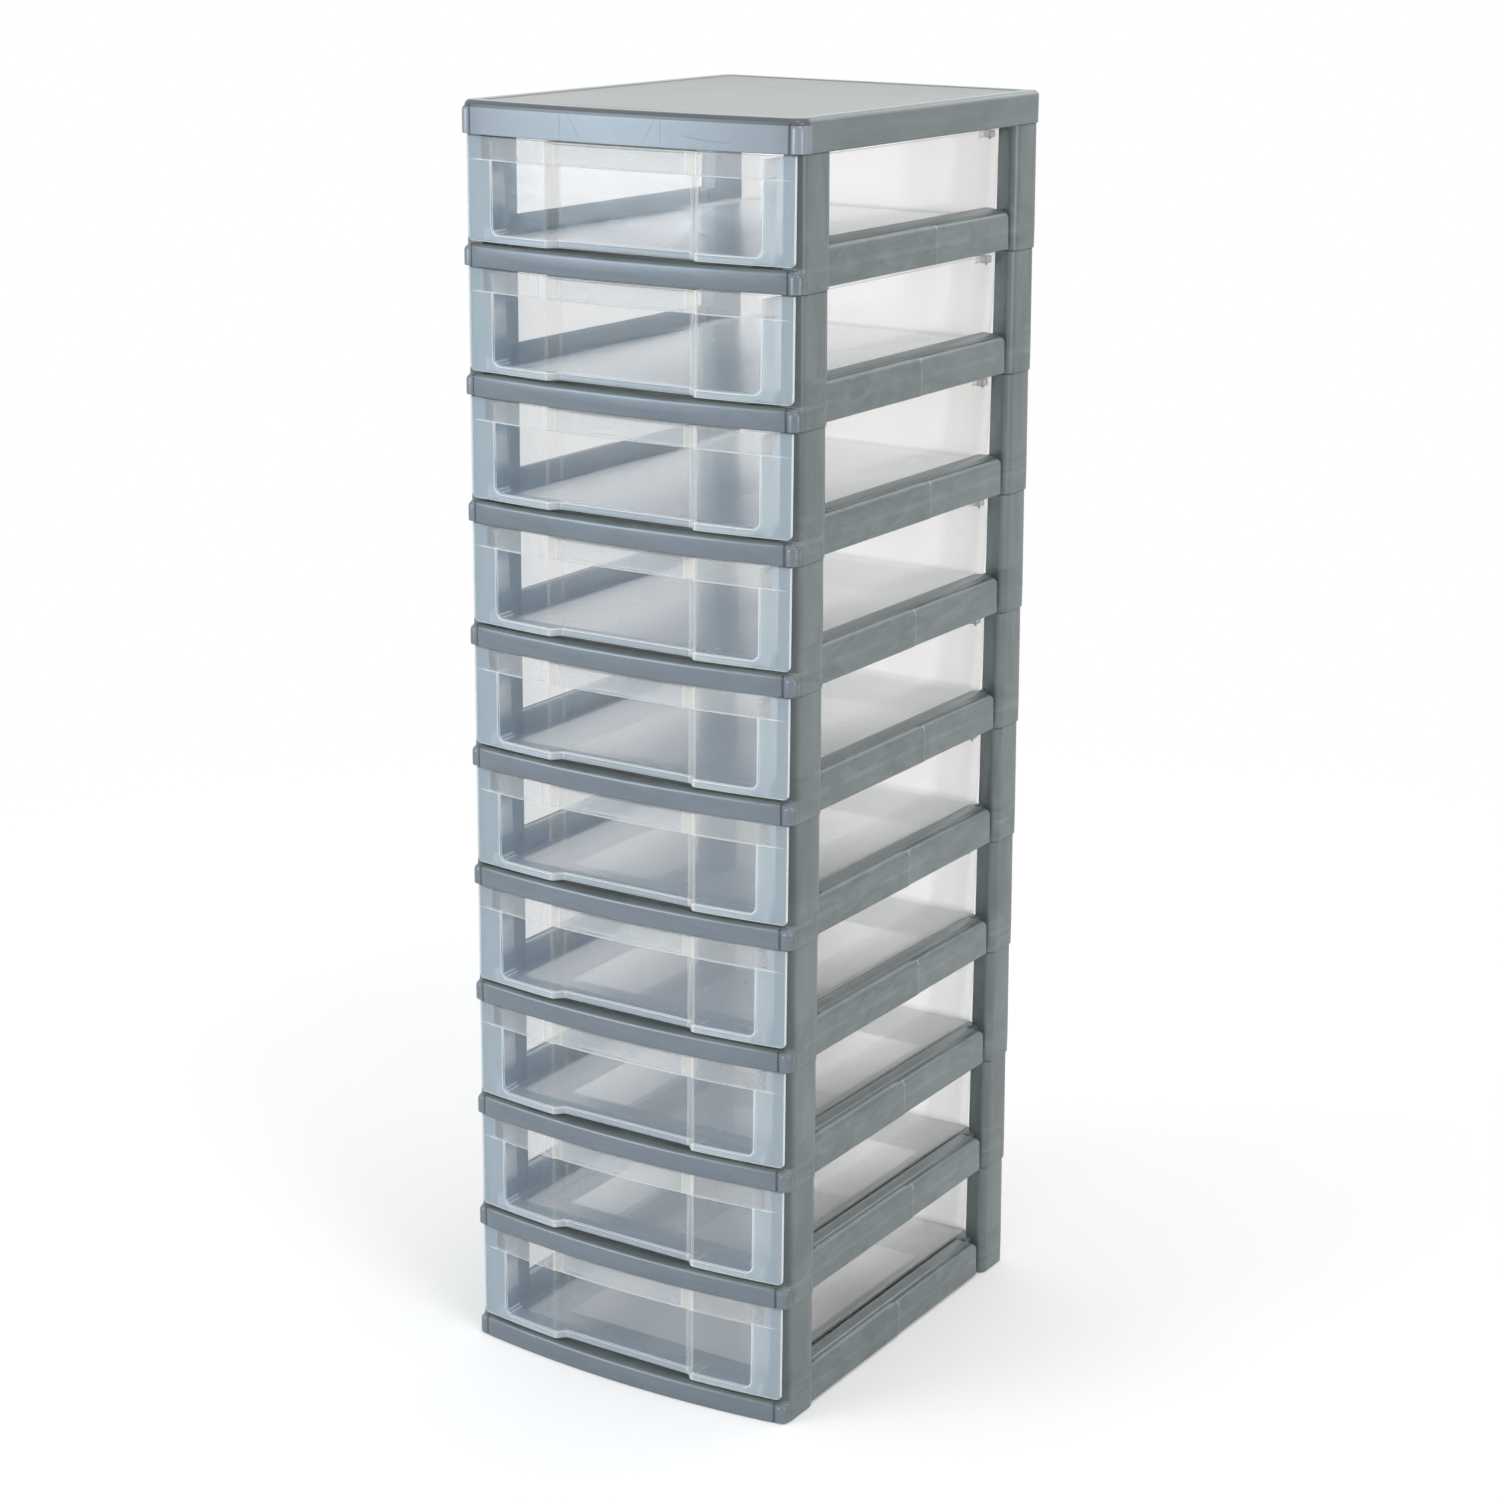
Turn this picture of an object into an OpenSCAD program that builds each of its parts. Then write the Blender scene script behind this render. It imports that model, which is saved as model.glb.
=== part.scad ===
// Plastic drawer tower: ten stacking frames, a top cover and ten clear drawers that slide out in front.
// Millimetres. X points right, Y to the back and Z up. The origin is under the middle of the base.
// Heights named "above the seam" are measured from the plane where a frame stands on the one below.

/* [Tower] */
// Width across the front lips
tower_w = 280.8; // [262:0.1:320]
// Depth from the crown of the front lip to the back
tower_d = 355; // [300:1:420]
// Height of one tier, seam to seam
tier_h = 92; // [76:0.5:140]
// How far the middle of the front bulges past its ends
bow = 11.4; // [8:0.1:18]
// Radius of the front corners in plan
front_corner_r = 12; // [9:0.5:16]
// Radius of the rear corners in plan
rear_corner_r = 10; // [6:0.5:14]
// Wall of the frames and the cover
wall = 2.2; // [1.6:0.1:2.8]

/* [Frame] */
// Height of the front lip above the seam
lip_h = 16.5; // [14:0.1:22]
// Rounding of the upper edge of the lip
lip_r = 4; // [2:0.1:5]
// Height of the deck's upper face above the seam
deck_top = 15.5; // [13:0.1:18]
// How far the deck reaches in under the drawer's flat floor at each side
deck_ledge = 11; // [8:0.1:25]
// Depth of the deck before its opening, from the crown of the lip
deck_front = 52.5; // [40:0.5:70]
// Depth of the deck behind its opening
deck_back = 47.5; // [35:0.5:70]
// Corner radius of the deck's opening
opening_r = 8; // [3:0.5:20]
// Height of the ribs that the drawer slides on
runner_h = 3.2; // [2:0.1:5]
// Width of those ribs
runner_w = 3; // [2:0.1:5]
// Depth of the stiffening ribs under the deck
rib_h = 8; // [4:0.5:10]

/* [Rails] */
// Height of the side rail's lower edge above the seam
rail_bottom = 2; // [0.5:0.1:6]
// Height of the rail's outer edge above the seam
rail_h = 30.4; // [24:0.1:40]
// Extra height of the rail's inner edge
rail_crest = 2.8; // [1:0.1:6]
// Rounding along the rail's outer upper edge
rail_r = 4.5; // [3.5:0.1:6]
// How far the rail's face lies inside the tower's side
rail_setback = 2.2; // [1.2:0.1:4]
// How far the rail's front panel stands out from the rest
panel_proud = 0.7; // [0.3:0.1:1]
// Place of the front panel's end on every second tier, from the lowest
panel_end_even = 4.7; // [-20:0.1:30]
// Place of the front panel's end on the tiers between
panel_end_odd = 22.7; // [-20:0.1:40]
// Radius of the front panel's upper corner
panel_r = 10; // [4:0.5:16]
// Radius of the rail's upper rear corner
rail_end_r = 14; // [6:0.5:20]
// Gap between the rail's face and the rear post
rail_gap = 5.8; // [3:0.1:12]
// Thickness of the link that joins rail and rear post across that gap
link_t = 5.2; // [3:0.1:8]

/* [Posts] */
// Thickness of the posts across the tower
post_w = 16.6; // [14:0.1:18]
// Depth of the front post
front_post_d = 41.5; // [30:0.5:50]
// Depth of the rear post
rear_post_d = 38.6; // [30:0.1:56]
// Step from the deck's corner in to the foot of the post
post_step = 0.3; // [0.2:0.05:0.5]
// How much a post narrows from its foot to its top
post_taper = 0.6; // [0.3:0.1:1.2]
// Radius of the outer front edge of each post
post_r = 7; // [4:0.5:9]
// Radius of the outer rear edge of the front post
post_rear_r = 11.5; // [6:0.5:12]
// Height of the spigot on each post
spigot_h = 8; // [5:0.5:10]
// Clearance round the spigot in its socket
socket_gap = 0.25; // [0.15:0.05:0.4]

/* [Cover] */
// Height of the top cover
cover_h = 23.5; // [19:0.5:34]
// Rounding of the cover's upper edge
cover_r = 4; // [2:0.5:6]
// Width of the border round the cover's top panel
border_w = 13; // [8:0.5:30]
// Depth of the top panel below the border
panel_drop = 0.7; // [0.3:0.1:1.2]
// Radius of the bead on each front corner
bead_r = 4.2; // [3:0.1:5]

/* [Drawer] */
// Distance from each end of the drawer's front to the tower's side
front_gap = 5; // [3:0.1:8]
// How far the front lies behind the lip's face
front_setback = 1.5; // [1:0.1:3]
// Thickness of the front
front_t = 2; // [1.4:0.1:2.6]
// Height of the front's lower edge above the seam
front_bottom = 18; // [17:0.1:20]
// Gap between the drawer's front and the lip above
top_gap = 1; // [0.6:0.1:3]
// Gap between each side of the drawer's box and the posts
box_gap = 10.6; // [7:0.1:24]
// How much each side of the box leans in towards the floor
box_draft = 2.2; // [1:0.1:4]
// Gap between the drawer's back and the back of the tower
box_back_gap = 4.3; // [2:0.1:20]
// Thickness of the box's walls and floor
box_t = 1.7; // [1.2:0.1:2.4]
// Rounding along the foot of the box's walls
foot_r = 6; // [3:0.5:10]
// Radius of the box's upright corners
box_r = 9; // [5:0.5:14]
// Gap between the rim and the lip above
rim_gap = 4; // [3:0.5:20]
// Width of the rim's flange
flange_w = 2.6; // [1:0.1:4]
// Running clearance between drawer and frame
drawer_gap = 0.4; // [0.3:0.05:0.8]

/* [Finger pull] */
// Width of the flat recessed panel
recess_w = 108.4; // [80:0.1:140]
// Width of the slope at each side of that panel
step_w = 8.3; // [5:0.1:14]
// Depth of the recess at the middle of the front
recess_d = 8.6; // [7.5:0.1:14]
// Height of the hood that hangs over the recess
hood_h = 16; // [12:0.5:24]
// Width of the thicker band that the hood is part of
band_w = 242; // [190:1:250]
// Extra thickness of that band
band_t = 0.6; // [0.4:0.1:1]

/* [Stops] */
// Length of the stop on each side of the box
stop_l = 22; // [10:0.5:40]
// Height of the stop
stop_h = 5.3; // [3:0.1:10]
// Distance from the stop to the back of the box
stop_back = 21; // [10:0.5:60]
// Gap between the stop and the posts
stop_gap = 1; // [0.5:0.1:2]

/* [Hidden] */
tiers = 10;
// Thin slice that hull() takes as an edge
slice = 0.01;
// Length by which a cut runs past the face that it opens
past = 1;
bow_steps = 12;
corner_steps = 5;
rounding_steps = 3;

half_w = tower_w / 2;
back_y = tower_d / 2;
front_y = -back_y;
bow_r = (half_w * half_w + bow * bow) / (2 * bow);
bow_c = front_y + bow_r;
deck_under = deck_top - wall;

// Posts and rails of the right-hand side
post_foot = half_w - post_step;
post_out = post_foot - post_taper;
post_back = back_y - post_step - post_taper;
post_in = half_w - post_w;
inner_r = 0.7;
crest_r = 0.5;
front_half = half_w - front_gap;
front_post_y = bow_y(front_half, front_setback + front_t) + drawer_gap;
front_post_end = front_post_y + front_post_d;
rear_post_y = back_y - rear_post_d;
rail_out = half_w - rail_setback;
rail_end = rear_post_y - rail_gap;
rail_top = rail_h + rail_crest;
socket_top = spigot_h + socket_gap;
block_in = post_in - wall;

// The drawer's flat floor decides how wide the deck's opening is
box_half = post_in - box_gap;
floor_half = box_half - box_draft - foot_r;
opening_x = floor_half - deck_ledge;
opening_front = front_y + deck_front;
opening_back = back_y - deck_back;

// Bead and groove on the cover's front corners, turned from the side towards the front
bead_turn = 40;
bead_proud = 1;
groove_turn = 66;
groove_r = 1;
groove_out = 0.25;

// Drawer
front_top = tier_h - top_gap;
rim_top = tier_h - rim_gap;
box_back = back_y - box_back_gap;
box_under = deck_top + runner_h + drawer_gap;
recess_half = recess_w / 2;
recess_y = front_y + front_setback + recess_d;
hood_bottom = front_top - hood_h;
band_half = band_w / 2;
stop_out = post_in - stop_gap;
stop_end = box_back - stop_back;
gusset_t = 1.6;
gusset_h = 9;
gusset_l = 7;
gusset_x = (box_half + post_in) / 2;

function numbered(name, i) = str(name, i < 10 ? "0" : "", i);

// Points of an arc round a centre
function arc(centre, r, from, to, steps) = [
    for (i = [0:steps])
        let (a = from + (to - from) * i / steps)
        [centre[0] + r * cos(a), centre[1] + r * sin(a)]
];

// Y of the bowed front at x, moved in from the lip's face
function bow_y(x, inset) = bow_c - sqrt(pow(bow_r - inset, 2) - x * x);

// Centre of a right front corner: its arc touches both the bow and the side
function corner_centre(inset, r) =
    let (x = half_w - inset - r)
    [x, bow_c - sqrt(pow(bow_r - inset - r, 2) - x * x)];

// Outline of the tower seen from above, moved in from its outer face
function plan(inset) =
    let (
        fr = max(front_corner_r - inset, 2),
        rr = max(rear_corner_r - inset, 2),
        c = corner_centre(inset, fr),
        a = atan2(c[1] - bow_c, c[0]),
        rx = half_w - inset - rr,
        ry = back_y - inset - rr
    )
    concat(
        arc([0, bow_c], bow_r - inset, -180 - a, a, bow_steps),
        arc(c, fr, a, 0, corner_steps),
        arc([rx, ry], rr, 0, 90, corner_steps),
        arc([-rx, ry], rr, 90, 180, corner_steps),
        arc([-c[0], c[1]], fr, 180, 180 - a, corner_steps)
    );

// Rectangle from low to high with rounded corners: front inner, front outer, rear outer, rear inner
function rounded(low, high, r) = concat(
    arc([low[0] + r[0], low[1] + r[0]], r[0], 180, 270, corner_steps),
    arc([high[0] - r[1], low[1] + r[1]], r[1], 270, 360, corner_steps),
    arc([high[0] - r[2], high[1] - r[2]], r[2], 0, 90, corner_steps),
    arc([low[0] + r[3], high[1] - r[3]], r[3], 90, 180, corner_steps)
);

// Radius of a post's outer edge, moved in by inset, where the outer face is at x.
// The sharp inner edge keeps a place beside it.
function edge_r(r, x, inset) = max(inner_r, min(r - inset, x - post_in - 2 * inset - 2 * inner_r));

// Outline of a front post, moved in by inset, its outer face at x
function front_post_plan(x, inset) = rounded(
    [post_in + inset, front_post_y + inset],
    [x - inset, front_post_end - inset],
    [inner_r, edge_r(post_r, x, inset), edge_r(post_rear_r, x, inset), inner_r]
);

// Outline of a rear post, moved in by inset, its outer face at x and its back at y
function rear_post_plan(x, y, inset) = rounded(
    [post_in + inset, rear_post_y + inset],
    [x - inset, y - inset],
    [inner_r, edge_r(post_r, x, inset), edge_r(rear_corner_r, x, inset), inner_r]
);

// Y of the drawer's front face: bowed, with a recess in the middle
function face_y(x) =
    let (a = abs(x), edge = recess_half + step_w, y = bow_y(edge, front_setback))
    a >= edge ? bow_y(a, front_setback)
    : a <= recess_half ? recess_y
    : y + (recess_y - y) * (1 - cos(180 * (edge - a) / step_w)) / 2;

// X values of the drawer's face from left to right, closer together on the slopes
half_face_x = concat(
    [for (i = [0:corner_steps]) recess_half + step_w * i / corner_steps],
    [for (i = [1:corner_steps]) recess_half + step_w + (front_half - recess_half - step_w) * i / corner_steps]
);
face_x = concat(
    [for (i = [len(half_face_x) - 1:-1:0]) -half_face_x[i]],
    half_face_x
);

// X values from -x to x in even steps
function even_x(x) = [for (i = [0:bow_steps]) x * (2 * i / bow_steps - 1)];

module both_sides() {
    children();
    mirror([1, 0, 0]) children();
}

module raise(z, h) {
    translate([0, 0, z]) linear_extrude(h) children();
}

// The tower's outline as a block whose upper edge is rounded by r
module rounded_block(h, r) {
    hull() {
        raise(0, h - r) polygon(plan(0));
        for (i = [1:rounding_steps]) {
            a = 90 * i / rounding_steps;
            raise(h - r + r * sin(a) - slice, slice) polygon(plan(r * (1 - cos(a))));
        }
    }
}

// Areas that keep the front or the rear end of the tower, rounded like the posts that stand there
module front_end() {
    polygon(rounded(
        [-half_w, -tower_d],
        [half_w, front_post_end],
        [inner_r, inner_r, post_rear_r, post_rear_r]
    ));
}

module rear_end() {
    polygon(rounded([-half_w, rear_post_y], [half_w, tower_d], [post_r, post_r, inner_r, inner_r]));
}

// Solid corners that hold the sockets
module corner_blocks(h) {
    raise(0, h) intersection() {
        polygon(plan(0));
        union() {
            front_end();
            rear_end();
        }
        both_sides() translate([block_in, front_y]) square([tower_w, tower_d]);
    }
}

// Outlines of both right-hand posts at their tops, moved in by inset
module post_plans(inset) {
    polygon(front_post_plan(post_out, inset));
    polygon(rear_post_plan(post_out, post_back, inset));
}

// Sockets that take the spigots of the tier below
module sockets() {
    both_sides() raise(-past, socket_top + past) post_plans(wall - socket_gap);
}

// Bowed lip across the front, hollow below
module front_lip() {
    intersection() {
        difference() {
            rounded_block(lip_h, lip_r);
            raise(-past, deck_under + past) polygon(plan(wall));
            raise(deck_top, lip_h) polygon(plan(lip_r + past));
        }
        raise(0, lip_h) front_end();
    }
}

module rear_skirt() {
    raise(0, deck_top) intersection() {
        difference() {
            polygon(plan(0));
            polygon(plan(wall));
        }
        rear_end();
    }
}

module opening_outline(grow) {
    r = opening_r + grow;
    polygon(rounded(
        [-opening_x - grow, opening_front - grow],
        [opening_x + grow, opening_back + grow],
        [r, r, r, r]
    ));
}

// Ring-shaped deck, a rim round its opening and stiffening ribs below
module deck() {
    raise(deck_under, wall) difference() {
        intersection() {
            polygon(plan(wall / 2));
            square([2 * post_in + wall, 2 * tower_d], center = true);
        }
        opening_outline(0);
    }
    raise(deck_under - rib_h, rib_h) {
        difference() {
            opening_outline(wall);
            opening_outline(0);
        }
        both_sides() for (x = [opening_x / 3, opening_x]) {
            translate([x - wall, front_y + bow]) square([wall, deck_front - bow]);
            translate([x - wall, opening_back]) square([wall, deck_back - wall / 2]);
        }
        both_sides() for (y = [opening_front / 2, 0, opening_back / 2])
            translate([opening_x, y]) square([post_in + wall / 2 - opening_x, wall]);
    }
}

// Low rib that carries the drawer's flat floor, in the middle of the ledge beside the opening
module runner() {
    x = floor_half - (deck_ledge + runner_w) / 2;
    raise(deck_top - slice, runner_h + slice)
        translate([x, front_post_y]) square([runner_w, box_back - box_r - front_post_y]);
}

// Section of the side rail: x across the tower, y up. Its foot is open.
module rail_section() {
    edge = [rail_out - rail_r, rail_h - rail_r];
    difference() {
        polygon(concat(
            [[rail_out, rail_bottom]],
            arc(edge, rail_r, 0, 90, corner_steps),
            [[post_in + crest_r, rail_top], [post_in, rail_top - crest_r], [post_in, rail_bottom]]
        ));
        polygon([
            [rail_out - wall, rail_bottom - past],
            [rail_out - wall, edge[1]],
            [edge[0], rail_h - wall],
            [post_in + wall, rail_top - wall],
            [post_in + wall, rail_bottom - past]
        ]);
    }
}

// Section of the front panel that wraps the rail's face and its rounded edge
module panel_section() {
    edge = [rail_out - rail_r, rail_h - rail_r];
    inner = rail_out - wall / 2;
    polygon(concat(
        [[inner, edge[1]], [inner, rail_bottom], [rail_out + panel_proud, rail_bottom]],
        arc(edge, rail_r + panel_proud, 0, 90, corner_steps),
        [[edge[0], rail_h - wall / 2]]
    ));
}

// Side view of a rail or panel from y0 to y1 with its upper rear corner rounded
module rail_side(y0, y1, z0, z1, r) {
    polygon(concat([[y0, z0], [y1, z0]], arc([y1 - r, z1 - r], r, 0, 90, corner_steps), [[y0, z1]]));
}

// Turns a flat shape drawn in y and z to stand across the tower from x on
module across(x, t) {
    translate([x, 0, 0]) rotate([90, 0, 90]) linear_extrude(t) children();
}

// Runs a section drawn in x and z along the tower from y0 to y1
module along(y0, y1) {
    translate([0, y1, 0]) rotate([90, 0, 0]) linear_extrude(y1 - y0) children();
}

module rail(panel_end) {
    start = front_post_end - post_rear_r;
    panel_top = rail_h + panel_proud;
    intersection() {
        along(start, rail_end) rail_section();
        across(post_in - past, post_w + past) rail_side(start - past, rail_end, 0, rail_top, rail_end_r);
    }
    intersection() {
        along(start, panel_end) panel_section();
        across(post_in - past, post_w + past) rail_side(start - past, panel_end, 0, panel_top, panel_r);
    }
    raise(deck_under, rail_h - deck_under)
        translate([post_in, rail_end - wall]) square([link_t, rail_gap + 2 * wall]);
}

// Upright prism over a flat outline, from inside the deck up to the seam, narrower by less at its top
module narrowing(corner, size, less) {
    top_scale = [1 - less[0] / size[0], 1 - less[1] / size[1]];
    translate([corner[0], corner[1], deck_under])
        linear_extrude(tier_h - deck_under, scale = top_scale, slices = 1)
            translate(-corner) children();
}

module posts() {
    narrowing([post_in, front_post_y], [post_foot - post_in, front_post_d], [post_taper, 0])
        polygon(front_post_plan(post_foot, 0));
    narrowing(
        [post_in, rear_post_y], [post_foot - post_in, rear_post_d - post_step], [post_taper, post_taper]
    )
        polygon(rear_post_plan(post_foot, back_y - post_step, 0));
    raise(tier_h - wall, spigot_h + wall) post_plans(wall);
}

// Posts and spigots are hollow and open below
module post_hollows() {
    both_sides() {
        raise(0, tier_h - wall) post_plans(wall);
        raise(0, tier_h + spigot_h - wall) post_plans(2 * wall);
    }
}

module tier_frame(i) {
    panel_end = i % 2 == 1 ? panel_end_even : panel_end_odd;
    color([0.52, 0.56, 0.57]) translate([0, 0, (i - 1) * tier_h]) difference() {
        union() {
            front_lip();
            rear_skirt();
            corner_blocks(deck_top);
            deck();
            both_sides() {
                rail(panel_end);
                runner();
                posts();
            }
        }
        sockets();
        post_hollows();
    }
}

module top_cover() {
    color([0.6, 0.64, 0.65]) translate([0, 0, tiers * tier_h]) {
        difference() {
            union() {
                difference() {
                    union() {
                        rounded_block(cover_h, cover_r);
                        both_sides() corner_bead();
                    }
                    raise(-past, cover_h - panel_drop - wall + past) polygon(plan(wall));
                    raise(cover_h - panel_drop, cover_h) polygon(plan(border_w));
                }
                corner_blocks(cover_h - 2 * wall);
                cover_ribs();
            }
            sockets();
            both_sides() bead_groove();
        }
    }
}

// Place on a front corner, turned from the side towards the front by angle a
function on_corner(a, r) =
    let (c = corner_centre(0, front_corner_r))
    [c[0] + r * cos(a), c[1] - r * sin(a), 0];

// Upright bead on a front corner, and the groove between it and the front
module corner_bead() {
    translate(on_corner(bead_turn, front_corner_r - bead_r + bead_proud))
        cylinder(r = bead_r, h = cover_h - cover_r, $fn = 8 * corner_steps);
}

module bead_groove() {
    translate(on_corner(groove_turn, front_corner_r + groove_out)) translate([0, 0, -past])
        cylinder(r = groove_r, h = cover_h - cover_r / 2 + past, $fn = 4 * corner_steps);
}

module cover_ribs() {
    h = cover_h - panel_drop - wall;
    raise(h - rib_h, rib_h + slice) intersection() {
        polygon(plan(wall / 2));
        union() {
            both_sides() for (x = [opening_x / 3, opening_x])
                translate([x - wall, front_y]) square([wall, tower_d]);
            for (y = [opening_front, 0, opening_back])
                translate([-half_w, y]) square([tower_w, wall]);
        }
    }
}

// Rounded rectangle of the drawer's box; it runs past the front and is cut there
module box_outline(inset) {
    r = box_r - inset / 2;
    polygon(rounded(
        [-box_half + inset, 2 * front_y],
        [box_half - inset, box_back - inset],
        [r, r, r, r]
    ));
}

// The box as a block: inset 0 is its outside, box_t its inside
module box_block(inset, top) {
    lean = box_draft;
    under = box_under + inset;
    r = foot_r - inset;
    hull() {
        for (i = [0:rounding_steps]) {
            a = 90 * i / rounding_steps;
            raise(under + r * (1 - sin(a)), slice) box_outline(inset + lean + r * (1 - cos(a)));
        }
        raise(top - slice, slice) box_outline(inset);
    }
}

// Everything behind the drawer's face
module behind_face() {
    raise(0, tier_h) polygon(concat(
        [for (x = face_x) [x, face_y(x)]],
        [[front_half, back_y], [-front_half, back_y]]
    ));
}

module drawer_box() {
    intersection() {
        union() {
            difference() {
                box_block(0, rim_top);
                box_block(box_t, rim_top + past);
            }
            raise(rim_top - box_t, box_t) difference() {
                box_outline(-flange_w);
                box_outline(box_t);
            }
        }
        behind_face();
    }
}

// Bowed sheet between the drawer's front face and a depth behind it
module bowed_sheet(x, inset, t) {
    polygon(concat(
        [for (v = even_x(x)) [v, bow_y(v, inset)]],
        [for (v = even_x(-x)) [v, bow_y(v, inset + t)]]
    ));
}

module drawer_front() {
    raise(front_bottom, front_top - front_bottom) polygon(concat(
        [for (x = face_x) [x, face_y(x)]],
        [for (i = [len(face_x) - 1:-1:0]) [face_x[i], face_y(face_x[i]) + front_t]]
    ));
    // Hood over the recess, closed at the top and open below
    edge = recess_half + step_w;
    raise(hood_bottom, hood_h) bowed_sheet(edge, front_setback, front_t);
    raise(front_top - front_t, front_t) polygon(concat(
        [for (v = even_x(edge)) [v, bow_y(v, front_setback)]],
        [[edge, recess_y + front_t], [-edge, recess_y + front_t]]
    ));
    // Thicker band beside the hood, on the back of the front
    raise(hood_bottom, hood_h) difference() {
        bowed_sheet(band_half, front_setback, front_t + band_t);
        square([2 * edge, 2 * tower_d], center = true);
    }
}

// Small gussets between the box and the front's wings
module gusset() {
    depth = bow_y(gusset_x, front_setback + front_t) - front_y + gusset_l;
    intersection() {
        union() {
            raise(box_under, gusset_h)
                translate([gusset_x - gusset_t / 2, front_y]) square([gusset_t, depth]);
            raise(box_under, box_t)
                translate([floor_half, front_y]) square([gusset_x - floor_half, depth]);
        }
        behind_face();
    }
}

// Block under the rim's flange that stops the drawer at the front posts
module stop() {
    inner = box_half - box_t / 2;
    raise(rim_top - stop_h, stop_h)
        translate([inner, stop_end - stop_l]) square([stop_out - inner, stop_l]);
}

module drawer(i) {
    color([0.82, 0.88, 0.9, 0.45]) translate([0, 0, (i - 1) * tier_h]) {
        drawer_box();
        drawer_front();
        both_sides() {
            gusset();
            stop();
        }
    }
}

for (i = [1:tiers]) tier_frame(i);
for (i = [1:tiers]) drawer(i);
top_cover();
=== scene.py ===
"""Dresses the plastic drawer tower: ten pearl grey stacking frames, a cover and ten clear drawers."""

import logging
import math
from dataclasses import dataclass, field
from enum import Enum
from typing import Optional, Sequence

import bmesh
import bpy
from mathutils import Matrix, Vector
from mathutils.geometry import tessellate_polygon


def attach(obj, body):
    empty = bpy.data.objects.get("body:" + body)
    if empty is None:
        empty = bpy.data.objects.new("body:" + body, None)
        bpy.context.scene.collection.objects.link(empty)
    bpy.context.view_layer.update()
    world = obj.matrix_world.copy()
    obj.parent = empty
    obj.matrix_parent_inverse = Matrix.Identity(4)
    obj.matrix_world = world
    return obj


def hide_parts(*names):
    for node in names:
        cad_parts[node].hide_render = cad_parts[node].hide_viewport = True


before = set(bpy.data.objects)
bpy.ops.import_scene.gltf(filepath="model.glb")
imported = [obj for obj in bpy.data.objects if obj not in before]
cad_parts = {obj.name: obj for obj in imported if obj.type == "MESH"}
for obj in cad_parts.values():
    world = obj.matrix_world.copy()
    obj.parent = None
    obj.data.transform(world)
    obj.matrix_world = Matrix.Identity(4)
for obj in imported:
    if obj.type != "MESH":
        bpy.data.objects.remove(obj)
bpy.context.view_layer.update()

LOG = logging.getLogger("drawer_tower")
MM = 0.001
TIERS = 10
CARCASS = "carcass"

# How far the grain of one tier is shifted against the next, per metre of its own place.
TIER_SHIFT = (3.1, 2.3, 7.7)
# Extent of the corner grooves in X, the Y in front of which they lie, and how soft their shade is.
GROOVE_X = (0.1302, 0.1314)
GROOVE_Y = -0.1665
GROOVE_SOFT = 0.0006
# Heights between which the shade of a seam under a frame or the cover fades.
SEAM = (-0.0002, 0.0012)

Flat = tuple[float, float]
Point = tuple[float, float, float]
Ring = list[Point]
Colour = tuple[float, float, float]


class Side(Enum):
    """The two sides of the tower, as the sign of X."""

    LEFT = -1
    RIGHT = 1


class Slot(Enum):
    """The three kinds of plastic that the pieces are made of."""

    FRAME = "frame_plastic"
    CLEAR = "clear_plastic"
    COVER = "cover_plastic"


def arc(centre: Flat, radius: float, start: float, end: float, steps: int) -> list[Flat]:
    """Points of an arc.

    Args:
        centre: Middle of the arc.
        radius: Radius of the arc.
        start: First angle in degrees.
        end: Last angle in degrees.
        steps: Number of equal steps.

    Returns:
        steps + 1 points from start to end.
    """
    angles = [math.radians(start + (end - start) * i / steps) for i in range(steps + 1)]
    return [(centre[0] + radius * math.cos(a), centre[1] + radius * math.sin(a)) for a in angles]


def spread(low: float, high: float, steps: int) -> list[float]:
    """Even values from low to high.

    Args:
        low: First value.
        high: Last value.
        steps: Number of equal steps.

    Returns:
        steps + 1 values.
    """
    return [low + (high - low) * i / steps for i in range(steps + 1)]


def smooth(value: float) -> float:
    """Smooth step of a value that is first held between 0 and 1."""
    t = min(1.0, max(0.0, value))
    return t * t * (3 - 2 * t)


def opaque(colour: Colour, level: float = 1.0) -> tuple[float, float, float, float]:
    """Colour for a socket, darker where level is under 1."""
    return colour[0] * level, colour[1] * level, colour[2] * level, 1.0


def rounded(low: Flat, high: Flat, radii: Sequence[float], steps: int = 8) -> list[Flat]:
    """Rectangle with rounded corners.

    Args:
        low: Corner with the lowest values.
        high: Corner with the highest values.
        radii: Radii at low-low, high-low, high-high and low-high.
        steps: Steps of each corner.

    Returns:
        Closed outline, anticlockwise.
    """
    a, b, c, d = radii
    return (
        arc((low[0] + a, low[1] + a), a, 180, 270, steps)
        + arc((high[0] - b, low[1] + b), b, 270, 360, steps)
        + arc((high[0] - c, high[1] - c), c, 0, 90, steps)
        + arc((low[0] + d, high[1] - d), d, 90, 180, steps)
    )


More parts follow.
